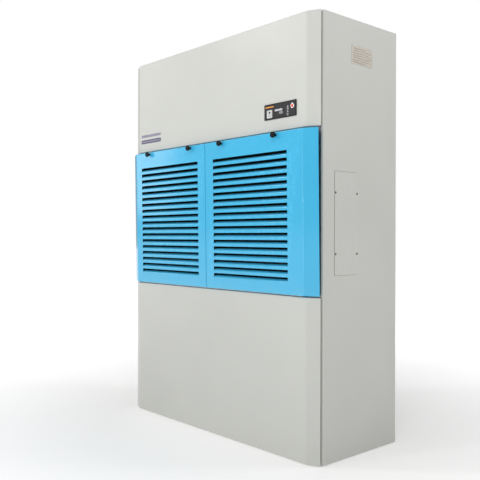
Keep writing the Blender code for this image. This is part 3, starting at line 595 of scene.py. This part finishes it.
def make_front_panel(node):
    low, high = corners_of(node)
    outline = [(low.x + PAN_TUCK, high.y), (low.x, low.y + SLOPE_DEPTH),
               (low.x + SLOPE_WIDTH, low.y), (high.x - SLOPE_WIDTH, low.y),
               (high.x, low.y + SLOPE_DEPTH), (high.x - PAN_TUCK, high.y)]
    bm = extrude_outline(bmesh.new(), outline, "Z", low.z, high.z)

    def radius_of(edge):
        return SLOPE_BEND if is_upright(edge) else PANEL_BEND

    item = sheet_item(f"{node}_sheet", bm, roll_sheet(bm, (0, 1, 0), radius_of), "grey_paint")
    cutters = []
    if node == "front_panel_upper":
        start, end = corners_of("control_plate")
        edge = 0.010
        opening = bmesh.new()
        bar(opening, (start.x + edge, low.y - PAST, start.z + edge),
            (end.x - edge, low.y + PAST, end.z - edge))
        cutters.append(boolean(item, new_item("plate_opening", opening, "grey_paint")))
    attach(settle(item, cutters), [node])


def make_flat_pan(node, open_side, big_edge):
    """A side, rear or top panel: a folded tray, with a wider roll where big_edge says."""
    low, high = corners_of(node)
    outline = [(low.x, low.y), (high.x, low.y), (high.x, high.y), (low.x, high.y)]
    bm = extrude_outline(bmesh.new(), outline, "Z", low.z, high.z)

    def radius_of(edge):
        return SIDE_BEND if big_edge(edge) else PANEL_BEND

    return sheet_item(f"{node}_sheet", bm, roll_sheet(bm, open_side, radius_of), "grey_paint")


def make_sides():
    for node, sign in (("side_panel_left", -1), ("side_panel_right", 1)):
        front = corners_of(node)[0].y

        def front_corner(edge, front=front):
            return is_upright(edge) and edge.verts[0].co.y < front + 0.001

        item = make_flat_pan(node, (-sign, 0, 0), front_corner)
        attach(settle(item), [node])


def make_rear():
    item = make_flat_pan("rear_panel", (0, -1, 0), lambda edge: False)
    holes = []
    for node, radius in (("cable_gland", 0.0088), ("drain_pipe", 0.0096)):
        centre = middle_of(node)
        height = centre.z if node == "cable_gland" else corners_of(node)[0].z + 0.009
        place = (centre.x, corners_of("rear_panel")[1].y, height)
        holes.append(boolean(item, drill(radius, 40, "front", place, "grey_paint")))
    attach(settle(item, holes), ["rear_panel"])


def make_top():
    item = make_flat_pan("top_panel", (0, 0, -1), lambda edge: False)
    openings = []
    for side in ("left", "right"):
        low, high = corners_of(f"outlet_grille_{side}")
        edge = 0.0102
        bm = bmesh.new()
        bar(bm, (low.x + edge, low.y + edge, low.z), (high.x - edge, high.y - edge, high.z + PAST))
        openings.append(boolean(item, new_item("outlet_opening", bm, "grey_paint")))
    attach(settle(item, openings), ["top_panel"])


def cross_screw(name, place, direction, radius, tall, look="bright_steel", stands_for=()):
    """A pan-head screw with a cross recess."""
    profile = [(0.0, tall), (radius * 0.55, tall * 0.97), (radius * 0.85, tall * 0.72),
               (radius, tall * 0.30), (radius, 0.0), (0.0, 0.0)]
    head = new_item(name, lathe(bmesh.new(), profile, 32, facing(direction, place)), look)
    long, short = radius * 0.60, radius * 0.13
    cutters = []
    for half_x, half_y in ((long, short), (short, long)):
        recess = bmesh.new()
        bar(recess, (-half_x, -half_y, tall * 0.35), (half_x, half_y, tall * 2))
        cutter = new_item("recess", recess, look)
        cutter.matrix_world = facing(direction, place)
        cutters.append(boolean(head, cutter))
    attach(settle(head, cutters), stands_for)


def make_panel_screws():
    """Screws round the rear panel and along the edges of the top panel."""
    inset = SCREW_INSET
    low, high = corners_of("rear_panel")
    rows = [low.z + inset + (high.z - low.z - 2 * inset) * step / 5 for step in range(6)]
    places = [(x, z) for x in (low.x + inset, high.x - inset) for z in rows]
    places += [(x, z) for x in (-0.2, 0.2) for z in (rows[0], rows[-1])]
    for number, (x, z) in enumerate(places, 1):
        cross_screw(f"rear_screw_{number}", (x, high.y + HAIR / 3, z), "back", 0.0045, 0.0020)
    low, high = corners_of("top_panel")
    places = [(x, y) for x in (low.x + inset, high.x - inset) for y in (low.y + 0.05, high.y - 0.05)]
    places += [(0.0, low.y + inset), (0.0, high.y - inset)]
    for number, (x, y) in enumerate(places, 1):
        cross_screw(f"top_screw_{number}", (x, y, high.z + HAIR / 3), "up", 0.0045, 0.0020)


def make_service_cover():
    """The service cover on a dark rubber rim that stands in for the shadow gap round it, with its four screws."""
    low, high = corners_of("access_cover")
    centre, size = span_of("access_cover", "y", "z")
    attach(plate("access_cover_sheet", rounded(centre, size, 0.003), "X", (low.x, high.x),
                 "grey_paint"), ["access_cover"])
    # Painted shade: a dark rubber rim just past the cover's edge, in place of the shadow gap round the cover.
    rubber_shade_rim = rounded(centre, [side + 2 * RUBBER_SHADE_RIM for side in size], 0.003)
    attach(plate("access_cover_rubber_shade_rim", rubber_shade_rim, "X", (low.x - HAIR / 2, low.x + HAIR), "pad_rubber",
                 0.0001))
    for number in range(1, 5):
        node = f"cover_screw_{number}"
        place = middle_of(node)
        cross_screw(f"{node}_head", (high.x + HAIR / 2, place.y, place.z), "right", 0.0044, 0.0012,
                    "screw_steel", [node])


def make_nameplate():
    """A brushed plate with two rivets and plain engraved rules in place of its print."""
    low, high = corners_of("nameplate")
    centre, size = span_of("nameplate", "y", "z")
    attach(plate("nameplate_sheet", rounded(centre, size, 0.003), "X", (low.x, high.x),
                 "nameplate_metal", 0.0002), ["nameplate"])
    bm = bmesh.new()
    rows = 7
    for row in range(rows):
        z = high.z - 0.010 - row * (size[1] - 0.018) / (rows - 1)
        share = 0.86 if row % 3 else 0.62
        bar(bm, (high.x, low.y + 0.010, z - 0.0012),
            (high.x + 0.00015, low.y + 0.010 + (size[0] - 0.020) * share, z + 0.0012))
    attach(settle(new_item("nameplate_rules", bm, "label_print")))
    for number, y in enumerate((low.y + 0.005, high.y - 0.005), 1):
        profile = [(0.0, 0.0009), (0.0010, 0.0008), (0.0018, 0.0004), (0.0020, 0.0), (0.0, 0.0)]
        rivet = lathe(bmesh.new(), profile, 24, facing("right", (high.x, y, centre[1])))
        attach(settle(new_item(f"nameplate_rivet_{number}", rivet, "bright_steel")))


def make_badge():
    """A plain mark at the left above the intake: a bar in an outline, and a rule over it."""
    face = corners_of("front_panel_upper")[0].y
    left, right = BADGE_X

    def printed(name, ends, inset, lift, look):
        bottom, top = ends
        size = (right - left - 2 * inset, top - bottom - 2 * inset)
        outline = rounded(((left + right) / 2, (bottom + top) / 2), size, size[1] * 0.25)
        attach(plate(name, outline, "Y", (face - lift - 0.0002, face - lift), look, 0.00004))

    printed("badge_frame", BADGE_BAR, 0.0, 0.00005, "navy_print")
    printed("badge_fill", BADGE_BAR, 0.0058, 0.00020, "violet_print")
    printed("badge_rule", BADGE_RULE, 0.0, 0.00005, "violet_print")


# --- Intake panels ---

def intake_matrix():
    hinge = next(j for j in frame["joints"] if j["name"] == "inlet_left_tilt")["pos_m"]
    return Matrix.Translation((0.0, hinge[1], hinge[2])) @ Matrix.Rotation(INTAKE_TILT, 4, "X")


def on_intake(item, stands_for, body):
    """Set a piece that was made in the hinge's frame on its leaning panel."""
    item.matrix_world = intake_matrix()
    attach(item, stands_for, body)


def intake_sheet(side):
    """The panel's outline, rolled at its bends, with its face taken out for the louvres."""
    sign = -1 if side == "left" else 1
    seam = SEAM_X + sign * SEAM_GAP / 2
    outer, bend = sign * INTAKE_OUTER, sign * INTAKE_FLAT_HALF
    outline = [(seam, INTAKE_DEPTH), (seam, 0.0), (bend, 0.0), (outer, INTAKE_SLOPE_DEPTH),
               (outer - sign * PAN_TUCK, INTAKE_DEPTH)]
    bm = extrude_outline(bmesh.new(), outline, "Z", 0.0, INTAKE_HEIGHT)
    open_face(bm, (0, 1, 0))

    def is_slope_bend(edge):
        return is_upright(edge) and all(abs(v.co.x - bend) < 1e-5 for v in edge.verts)

    for wanted, radius in ((True, SLOPE_BEND), (False, PANEL_BEND)):
        edges = [e for e in bm.edges if len(e.link_faces) == 2 and e.calc_face_angle() > 0.1
                 and (is_slope_bend(e) if wanted else e.calc_face_angle() > 0.3)]
        bmesh.ops.bevel(bm, geom=edges, offset=radius, segments=4, affect="EDGES", profile=0.5,
                        clamp_overlap=True)
    bm.normal_update()
    face = max((f for f in bm.faces if f.normal.y < -0.999), key=lambda f: f.calc_area())
    return bm, face


def add_louvres(bm, face, start, end):
    """Fill the panel's face with strips, slots and flaps that roll inwards at their lower edge."""
    rim = sorted(face.verts, key=lambda v: (round(v.co.z, 4), v.co.x))
    bottom, top = rim[:2], rim[-2:]
    bmesh.ops.delete(bm, geom=[face], context="FACES_ONLY")
    gap = LOUVRE_SIDE_GAP
    left_rim, right_rim = [], []
    below = None
    for row in range(LOUVRE_COUNT):
        z = LOUVRE_FIRST + row * LOUVRE_PITCH
        hinge = [bm.verts.new((x, 0.0, z)) for x in (start, start + gap, end - gap, end)]
        head = [bm.verts.new((x, 0.0, z + LOUVRE_SLOT)) for x in (start, end)]
        if below is None:
            bm.faces.new([bottom[0], bottom[1]] + hinge[::-1])
        else:
            bm.faces.new(below + hinge[::-1])
        add_flap(bm, hinge[1], hinge[2])
        left_rim += [hinge[0], head[0]]
        right_rim += [hinge[-1], head[1]]
        below = head
    bm.faces.new(below + [top[1], top[0]])
    bm.faces.new([bottom[0]] + left_rim + [top[0]])
    bm.faces.new([bottom[1], top[1]] + right_rim[::-1])
    bm.normal_update()


def add_flap(bm, first, second, pieces=6):
    """One flap: rolled through the louvre's angle, then straight."""
    z = first.co.z
    straight = LOUVRE_SLOT - LOUVRE_ROLL * LOUVRE_ANGLE
    route = [(LOUVRE_ROLL * (1 - math.cos(a)), z + LOUVRE_ROLL * math.sin(a))
             for a in (LOUVRE_ANGLE * step / pieces for step in range(1, pieces + 1))]
    y, height = route[-1]
    route.append((y + straight * math.sin(LOUVRE_ANGLE), height + straight * math.cos(LOUVRE_ANGLE)))
    left, right = first, second
    for y, height in route:
        next_left = bm.verts.new((first.co.x, y, height))
        next_right = bm.verts.new((second.co.x, y, height))
        bm.faces.new([left, right, next_right, next_left])
        left, right = next_left, next_right


def make_intake(side):
    start, end = LOUVRE_SPANS[side]
    body = f"inlet_{side}"
    bm, face = intake_sheet(side)
    add_louvres(bm, face, start, end)
    item = bevel_edges(thicken(new_item(f"inlet_panel_{side}_sheet", bm, "blue_paint")), 0.00025, 1,
                       60.0)
    drills = [boolean(item, drill(KNOB_HOLE, 32, "front", (x, 0.0, KNOB_Z), "blue_paint", PAST))
              for x in KNOB_PLACES.values() if start < x < end]
    on_intake(settle(item, drills), [f"inlet_panel_{side}"], body)
    make_filter(side, start, end, body)


def make_filter(side, start, end, body):
    """A filter: a moulded frame with ribs, a woven screen behind them, and dark foam strips in front, placed as
    painted shade.
    """
    border, rim, front, back = 0.019, 0.012, 0.0205, 0.0295
    low_x, high_x = start - border, end + border
    low_z = LOUVRE_FIRST - border
    high_z = LOUVRE_FIRST + LOUVRE_PITCH * LOUVRE_COUNT + border / 2
    bm = bmesh.new()
    bar(bm, (low_x, front, low_z), (low_x + rim, back, high_z))
    bar(bm, (high_x - rim, front, low_z), (high_x, back, high_z))
    bar(bm, (low_x + rim, front, low_z), (high_x - rim, back, low_z + rim))
    bar(bm, (low_x + rim, front, high_z - rim), (high_x - rim, back, high_z))
    for step in range(1, 5):
        x = low_x + (high_x - low_x) * step / 5
        bar(bm, (x - 0.0015, front + 0.002, low_z + rim), (x + 0.0015, back - 0.002, high_z - rim))
    for step in range(1, 6):
        z = low_z + (high_z - low_z) * step / 6
        bar(bm, (low_x + rim, front + 0.0025, z - 0.0015), (high_x - rim, back - 0.0025, z + 0.0015))
    holder = settle(bevel_edges(new_item(f"filter_{side}_frame", bm, "black_plastic"), 0.0005, 2))
    on_intake(holder, [f"filter_{side}"], body)
    middle = (front + back) / 2
    outline = rounded(((low_x + high_x) / 2, (low_z + high_z) / 2),
                      (high_x - low_x - rim, high_z - low_z - rim), 0.004)
    screen = plate(f"filter_{side}_screen", outline, "Y", (middle - 0.0006, middle + 0.0006),
                   "filter_mesh", 0.0002)
    on_intake(screen, (), body)
    # Painted shade: dark foam strips beside the louvres' ends hide the lit parts seen past the slot ends.
    shade_foam_bm = bmesh.new()
    for x in (start - SHADE_FOAM_OUT, end + SHADE_FOAM_OUT - SHADE_FOAM_WIDE):
        bar(shade_foam_bm, (x, SKIN + HAIR, low_z), (x + SHADE_FOAM_WIDE, front - HAIR, high_z))
    shade_foam = settle(bevel_edges(new_item(f"filter_{side}_seal", shade_foam_bm, "pad_rubber"), 0.0015, 2))
    on_intake(shade_foam, (), body)


def make_knob(name, x):
    """A thumb knob: fluted head with a capped centre, on a neck that narrows to the panel."""
    def flute(angle, radius, height):
        on_head = radius > 0.0114 and 0.0118 < height < 0.0196
        return 1.0 - 0.050 * max(0.0, math.cos(12 * angle)) if on_head else 1.0

    profile = [(0.0, 0.0190), (0.0040, 0.0190), (0.0046, 0.0186), (0.0052, 0.0194),
               (0.0090, 0.0199), (0.0108, 0.0197), (0.0117, 0.0191), (0.0121, 0.0180),
               (0.0121, 0.0132), (0.0117, 0.0121), (0.0106, 0.0115), (0.0070, 0.0108),
               (0.0056, 0.0098), (0.0054, 0.0080), (0.0054, 0.0014), (0.0058, HAIR),
               (0.0030, HAIR)]
    threads = 24
    for step in range(threads):
        depth = -0.006 - 0.052 * step / threads
        profile.append((0.0030 if step % 2 else 0.0026, depth))
    profile += [(0.0020, -0.060), (0.0, -0.060)]
    grip = turned(f"{name}_grip", profile, 96, facing("front", (x, 0.0, KNOB_Z)), "black_plastic",
                  flute)
    on_intake(settle(grip), [name], f"knob_turn_{name[-1]}")


# --- Controls ---

def on_plate(u, v):
    """x and z of a place on the control plate, from shares of its width and height."""
    low, high = corners_of("control_plate")
    return low.x + u * (high.x - low.x), high.z - v * (high.z - low.z)


def button_form(node):
    """A round button's radius, its length, and the middle of its face."""
    low, high = corners_of(node)
    centre, size = span_of(node, "x", "z")
    return size[0] / 2, high.y - low.y, (centre[0], low.y, centre[1])


def button_drill(node):
    """A cutter for the hole that a round button moves in."""
    radius, _, place = button_form(node)
    return drill(radius + CLEARANCE, 64, "front", place, "control_face")


def oval_outline(node, extra=0.0):
    centre, size = span_of(node, "x", "z")
    size = [side + 2 * extra for side in size]
    return rounded(centre, size, size[1] / 2 - 1e-5, 12)


def make_control_plate():
    """The plate with its recessed face and button holes, and the rim round it."""
    low, high = corners_of("control_plate")
    centre, size = span_of("control_plate", "x", "z")
    item = bevel_edges(block("control_plate_face", rounded(centre, size, 0.003), "Y",
                             (low.y, high.y), "control_face"), 0.0006, 3)
    rim, recess = 0.0030, 0.0005
    inner = rounded(centre, (size[0] - 2 * rim, size[1] - 2 * rim), 0.002)
    oval = oval_outline("set_button", CLEARANCE)
    cutters = [block("recess", inner, "Y", (low.y - PAST, low.y + recess), "control_face"),
               button_drill("power_button"), button_drill("mode_key"),
               block("oval_cut", oval, "Y", (low.y - PAST, high.y + PAST), "control_face")]
    for cutter in cutters:
        boolean(item, cutter)
    attach(settle(item, cutters), ["control_plate"])
    outer = rounded(centre, (size[0] - 0.0012, size[1] - 0.0012), 0.003)
    item = block("control_plate_rim", outer, "Y", (low.y - 0.0004, low.y + 0.0002), "black_plastic")
    hollow = block("rim_hollow", inner, "Y", (low.y - PAST, low.y + PAST), "black_plastic")
    boolean(item, hollow)
    bevel_edges(item, 0.00015, 1)
    attach(settle(item, [hollow]))
    return low.y + recess


def make_tile(face):
    """The pale tile round the black key, with two printed rules under it."""
    low = corners_of("key_tile")[0]
    centre, size = span_of("key_tile", "x", "z")
    item = bevel_edges(block("key_tile_face", rounded(centre, size, 0.0035), "Y",
                             (low.y, face - HAIR / 3), "white_plastic"), 0.0004, 3)
    hole = boolean(item, button_drill("mode_key"))
    attach(settle(item, [hole]), ["key_tile"])
    top = corners_of("key_tile")[1].z
    for number, (share, drop) in enumerate(((0.34, 0.62), (0.52, 0.78))):
        mark = rounded((centre[0], top - size[1] * drop), (size[0] * share, 0.0014), 0.0006)
        attach(plate(f"tile_mark_{number + 1}", mark, "Y", (low.y - 0.00012, low.y - 0.00001),
                     "dark_print", 0.00003))


def make_display(face):
    """The display window in a thin dark frame."""
    low = corners_of("display_window")[0]
    centre, size = span_of("display_window", "x", "z")
    attach(plate("display_lens", rounded(centre, size, 0.0018), "Y", (low.y, face - HAIR / 3),
                 "display_lens", 0.0003), ["display_window"])
    outer = rounded(centre, (size[0] + 0.005, size[1] + 0.005), 0.0030)
    inner = rounded(centre, (size[0] + 0.0006, size[1] + 0.0006), 0.0020)
    surround = block("display_surround", outer, "Y", (face - 0.0006, face - HAIR / 3),
                     "black_plastic")
    hollow = block("surround_hollow", inner, "Y", (face - PAST, face + PAST), "black_plastic")
    boolean(surround, hollow)
    bevel_edges(surround, 0.00015, 1)
    attach(settle(surround, [hollow]))


def make_buttons():
    """The domed power button in its bezel, the black key and the oval button."""
    radius, length, place = button_form("power_button")
    dome = [(0.0, 0.0)] + [(radius * share, -0.0012 * share ** 2.5) for share in
                           (0.25, 0.5, 0.7, 0.85, 0.94)]
    dome += [(radius, -0.0019), (radius, -length), (0.0, -length)]
    button = turned("power_button_cap", dome, 64, facing("front", place), "red_plastic")
    attach(settle(button), ["power_button"], "power_press")
    outer, proud, _ = button_form("power_bezel")
    inner = radius + CLEARANCE
    ring = [(inner, 0.0), (inner, proud - 0.0007), (inner + 0.0005, proud - 0.0002),
            (outer - 0.0016, proud), (outer - 0.0007, proud - 0.0005), (outer, proud - 0.0015),
            (outer, 0.0), (inner, 0.0)]
    back = (place[0], corners_of("power_bezel")[1].y, place[2])
    bezel = turned("power_bezel_ring", ring, 72, facing("front", back), "bezel_chrome")
    attach(settle(bezel), ["power_bezel"])
    radius, length, place = button_form("mode_key")
    cap = [(0.0, -0.0005), (radius * 0.45, -0.0004), (radius * 0.8, 0.0), (radius * 0.95, -0.0003),
           (radius, -0.0009), (radius, -length), (0.0, -length)]
    key = turned("mode_key_cap", cap, 48, facing("front", place), "black_plastic")
    attach(settle(key), ["mode_key"], "mode_press")
    low, high = corners_of("set_button")
    oval = block("set_button_cap", oval_outline("set_button"), "Y", (low.y, high.y),
                 "silver_plastic")
    attach(settle(bevel_edges(oval, 0.0012, 4, 40.0)), ["set_button"],
           "set_press")


def make_marks(face):
    """Plain marks printed on the plate: a bar, and a column of four simple signs over rules."""
    u, v, wide, tall = MARK_BAR
    width, height = span_of("control_plate", "x", "z")[1]

    def printed(name, outline, look, edge=0.00002, slot="white_plastic"):
        attach(plate(name, outline, "Y", (face - 0.00015, face - 0.00002), look, edge))

    printed("plate_bar", rounded(on_plate(u, v), (width * wide, height * tall),
                                 height * tall * 0.4), "orange_print", 0.00003, "control_face")
    spots = [on_plate(ICON_COLUMN, row) for row in ICON_ROWS]
    signs = [rounded(spots[0], (0.0080, 0.0070), 0.0034, 8),
             rounded(spots[1], (0.0110, 0.0034), 0.0012)]
    x, z = spots[2]
    signs.append([(x - 0.0052, z - 0.0030), (x + 0.0052, z - 0.0030), (x, z + 0.0040)])
    x, z = spots[3]
    signs.append([(x - 0.0050, z - 0.0022)] + [
        (x + 0.0050 * math.cos(a), z - 0.0022 + 0.0050 * math.sin(a))
        for a in (math.pi * step / 12 for step in range(12))])
    for number, (sign, (x, z)) in enumerate(zip(signs, spots), 1):
        printed(f"plate_sign_{number}", sign, "pale_print")
        printed(f"plate_rule_{number}", rounded((x, z - SIGN_DROP), (SIGN_RULE, 0.0012), 0.0005),
                "silver_plastic")


# --- Outlets, filters and coils ---

def make_grille(side):
    """An outlet grille: a rounded flange and collar, crossed by slim vanes and one rib."""
    node = f"outlet_grille_{side}"
    low, high = corners_of(node)
    centre, size = span_of(node, "x", "y")
    flange, wall, inset = 0.0025, 0.003, 0.020
    base = high.z - flange
    look = "grille_plastic"
    item = block(f"{node}_frame", rounded(centre, size, 0.006), "Z", (base, high.z), look)
    bevel_edges(item, 0.0010, 3)
    around = (size[0] - 2 * inset, size[1] - 2 * inset)
    collar = block("collar", rounded(centre, around, 0.004), "Z", (low.z, base + 0.001), look)
    boolean(item, collar, "UNION")
    inside = (around[0] - 2 * wall, around[1] - 2 * wall)
    hollow = block("hollow", rounded(centre, inside, 0.003), "Z", (low.z - PAST, high.z + PAST),
                   look)
    boolean(item, hollow)
    attach(settle(item, [collar, hollow]), [node])
    vanes = bmesh.new()
    count, lean = 12, 0.0025
    for number in range(count):
        y = centre[1] - inside[1] / 2 + inside[1] * (number + 0.5) / count
        outline = [(y - 0.0009 - lean, low.z + 0.001), (y + 0.0009 - lean, low.z + 0.001),
                   (y + 0.0011, base), (y + 0.0009, base + 0.0012), (y - 0.0009, base + 0.0012),
                   (y - 0.0011, base)]
        extrude_outline(vanes, outline, "X", centre[0] - inside[0] / 2 - 0.001,
                        centre[0] + inside[0] / 2 + 0.001)
    bar(vanes, (centre[0] - 0.002, centre[1] - inside[1] / 2 - 0.001, low.z + 0.0015),
        (centre[0] + 0.002, centre[1] + inside[1] / 2 + 0.001, base + 0.0006))
    attach(settle(bevel_edges(new_item(f"{node}_vanes", vanes, look), 0.0003, 1)))


def make_coil(node):
    """Thin upright fins between two end plates, with return bends and a header."""
    low, high = corners_of(node)
    edge = 0.003
    left, right, count = low.x + 0.010, high.x - 0.028, 230
    bm = bmesh.new()
    for number in range(count):
        x = left + (right - left) * number / (count - 1)
        bar(bm, (x - 0.0003, low.y + edge, low.z + edge), (x + 0.0003, high.y - edge, high.z - edge))
    attach(new_item(f"{node}_fins", bm, "fin_aluminium"), [node])
    ends = bmesh.new()
    for x in (left - 0.004, right + 0.002):
        bar(ends, (x, low.y, low.z), (x + 0.0015, high.y, high.z))
    bar(ends, (left - 0.004, low.y, low.z), (right + 0.0035, high.y, low.z + 0.0015))
    bar(ends, (left - 0.004, low.y, high.z - 0.0015), (right + 0.0035, high.y, high.z))
    attach(settle(bevel_edges(new_item(f"{node}_casing", ends, "zinc_steel"), 0.0004, 2)))
    rows, middle, spread = 11, (low.y + high.y) / 2, (high.y - low.y) * 0.22
    for end, x, sign in (("left", left - 0.003, -1), ("right", right + 0.003, 1)):
        for row in range(rows):
            z = low.z + 0.030 + (high.z - low.z - 0.060) * row / (rows - 1)
            return_bend(f"{node}_bend_{end}_{row + 1}", x, sign, middle, spread, z)
    curve_pipe(f"{node}_header", [(high.x - 0.0095, middle, low.z + 0.022),
                                  (high.x - 0.0095, middle, high.z - 0.022)], 0.008)


def return_bend(name, x, sign, middle, spread, z):
    points = [(x + sign * 0.010 * math.sin(math.pi * s / 10), middle - spread * math.cos(
        math.pi * s / 10), z) for s in range(11)]
    curve_pipe(name, points, 0.0045)


def curve_pipe(name, points, radius):
    curve = bpy.data.curves.new(name, "CURVE")
    curve.dimensions = "3D"
    curve.bevel_depth = radius
    curve.bevel_resolution = 4
    curve.use_fill_caps = True
    spline = curve.splines.new("POLY")
    spline.points.add(len(points) - 1)
    for point, place in zip(spline.points, points):
        point.co = (*place, 1.0)
    curve.materials.append(looks["copper_pipe"])
    attach(add_object(name, curve))


def make_gland():
    """The cable gland: a chamfered hexagon under a ribbed dome, open down its middle."""
    centre = middle_of("cable_gland")
    place = (centre.x, corners_of("rear_panel")[1].y + HAIR, centre.z)
    bore = 0.0055

    def ribs(angle, _, height):
        return 1.0 - 0.04 * max(0.0, math.cos(16 * angle)) if 0.0065 < height < 0.0125 else 1.0

    profile = [(bore, -0.014), (bore, 0.0155), (0.0068, 0.0159), (0.0088, 0.0154), (0.0102, 0.0140),
               (0.0112, 0.0120), (0.0115, 0.0070), (0.0115, 0.0055), (0.0084, 0.0050),
               (0.0084, -0.014), (bore, -0.014)]
    cap = turned("cable_gland_cap", profile, 96, facing("back", place), "black_plastic", ribs)
    attach(settle(cap), ["cable_gland"])
    sides = bmesh.new()
    hexagon = [(0.0143 * math.cos(math.pi * s / 3), 0.0143 * math.sin(math.pi * s / 3))
               for s in range(6)]
    extrude_outline(sides, hexagon, "Z", 0.0, 0.0058)
    bmesh.ops.transform(sides, matrix=facing("back", place), verts=sides.verts)
    nut = bevel_edges(new_item("cable_gland_nut", sides, "black_plastic"), 0.0008, 3)
    hole = boolean(nut, drill(0.0080, 48, "back", place, "black_plastic", 0.03))
    attach(settle(nut, [hole]))


# --- Stage ---

def make_camera():
    camera = add_object("camera", bpy.data.cameras.new("camera"))
    camera.data.lens = CAMERA_LENS
    camera.data.sensor_width = 36.0
    camera.matrix_world = (Matrix.Translation(CAMERA_PLACE)
                           @ Matrix.Rotation(math.radians(CAMERA_YAW), 4, "Z")
                           @ Matrix.Rotation(math.radians(90.0 + CAMERA_PITCH), 4, "X")
                           @ Matrix.Rotation(math.radians(CAMERA_ROLL), 4, "Z"))
    bpy.context.scene.camera = camera


def make_light(name, place, target, size, power):
    light = bpy.data.lights.new(name, "AREA")
    light.shape = "RECTANGLE"
    light.size, light.size_y = size
    light.energy = power
    item = add_object(name, light)
    item.location = place
    item.rotation_euler = (Vector(target) - Vector(place)).to_track_quat("-Z", "Y").to_euler()


def floor_material():
    """White paper that glows as painted light: weakly near the object, growing to full white away from it."""
    material = bpy.data.materials.new("floor")
    material.use_nodes = True
    tree = material.node_tree
    shader = fill(tree.nodes["Principled BSDF"], Base_Color=(0.90, 0.90, 0.90, 1.0), Roughness=0.9,
                  Emission_Color=WHITE)
    place = tree.nodes.new("ShaderNodeTexCoord")
    length = tree.nodes.new("ShaderNodeVectorMath")
    length.operation = "LENGTH"
    # Painted light and shade: the glow grows with distance from the object, so the floor is darker near it.
    fade = fill(tree.nodes.new("ShaderNodeMapRange"), From_Min=0.7, From_Max=2.8, To_Min=0.26,
                To_Max=0.72)
    link = tree.links.new
    link(place.outputs["Object"], length.inputs[0])
    link(length.outputs["Value"], fade.inputs["Value"])
    link(fade.outputs["Result"], shader.inputs["Emission Strength"])
    return material


def make_world():
    """White to look at, and a softer grey as light."""
    world = bpy.data.worlds.new("studio")
    world.use_nodes = True
    tree = world.node_tree
    soft = fill(tree.nodes["Background"], Color=WHITE, Strength=AMBIENT)
    white = fill(tree.nodes.new("ShaderNodeBackground"), Color=WHITE)
    path = tree.nodes.new("ShaderNodeLightPath")
    mix = tree.nodes.new("ShaderNodeMixShader")
    link = tree.links.new
    link(path.outputs["Is Camera Ray"], mix.inputs["Fac"])
    link(soft.outputs["Background"], mix.inputs[1])
    link(white.outputs["Background"], mix.inputs[2])
    link(mix.outputs["Shader"], tree.nodes["World Output"].inputs["Surface"])
    bpy.context.scene.world = world


def make_stage():
    bm = bmesh.new()
    bmesh.ops.create_grid(bm, x_segments=1, y_segments=1, size=40.0)
    add_mesh("floor", bm, floor_material())
    make_world()
    for name, setting in LAMPS.items():
        make_light(name, *setting)
    bpy.context.scene.view_settings.view_transform = "Standard"


looks = make_materials()
make_camera()
for panel in ("front_panel_upper", "front_panel_lower"):
    make_front_panel(panel)
make_sides()
make_rear()
make_top()
make_panel_screws()
make_service_cover()
make_nameplate()
make_badge()
for panel_side in ("left", "right"):
    make_intake(panel_side)
    make_grille(panel_side)
for knob_name, knob_x in KNOB_PLACES.items():
    make_knob(knob_name, knob_x)
plate_face = make_control_plate()
make_tile(plate_face)
make_display(plate_face)
make_buttons()
make_marks(plate_face)
for coil in ("evaporator", "condenser"):
    make_coil(coil)
make_gland()
for entry in frame["record"]["subparts"]:
    node = frame["nodes"][entry["node"]]
    node.data.materials.clear()
    node.data.materials.append(looks[entry["material_slot"]])
make_stage()
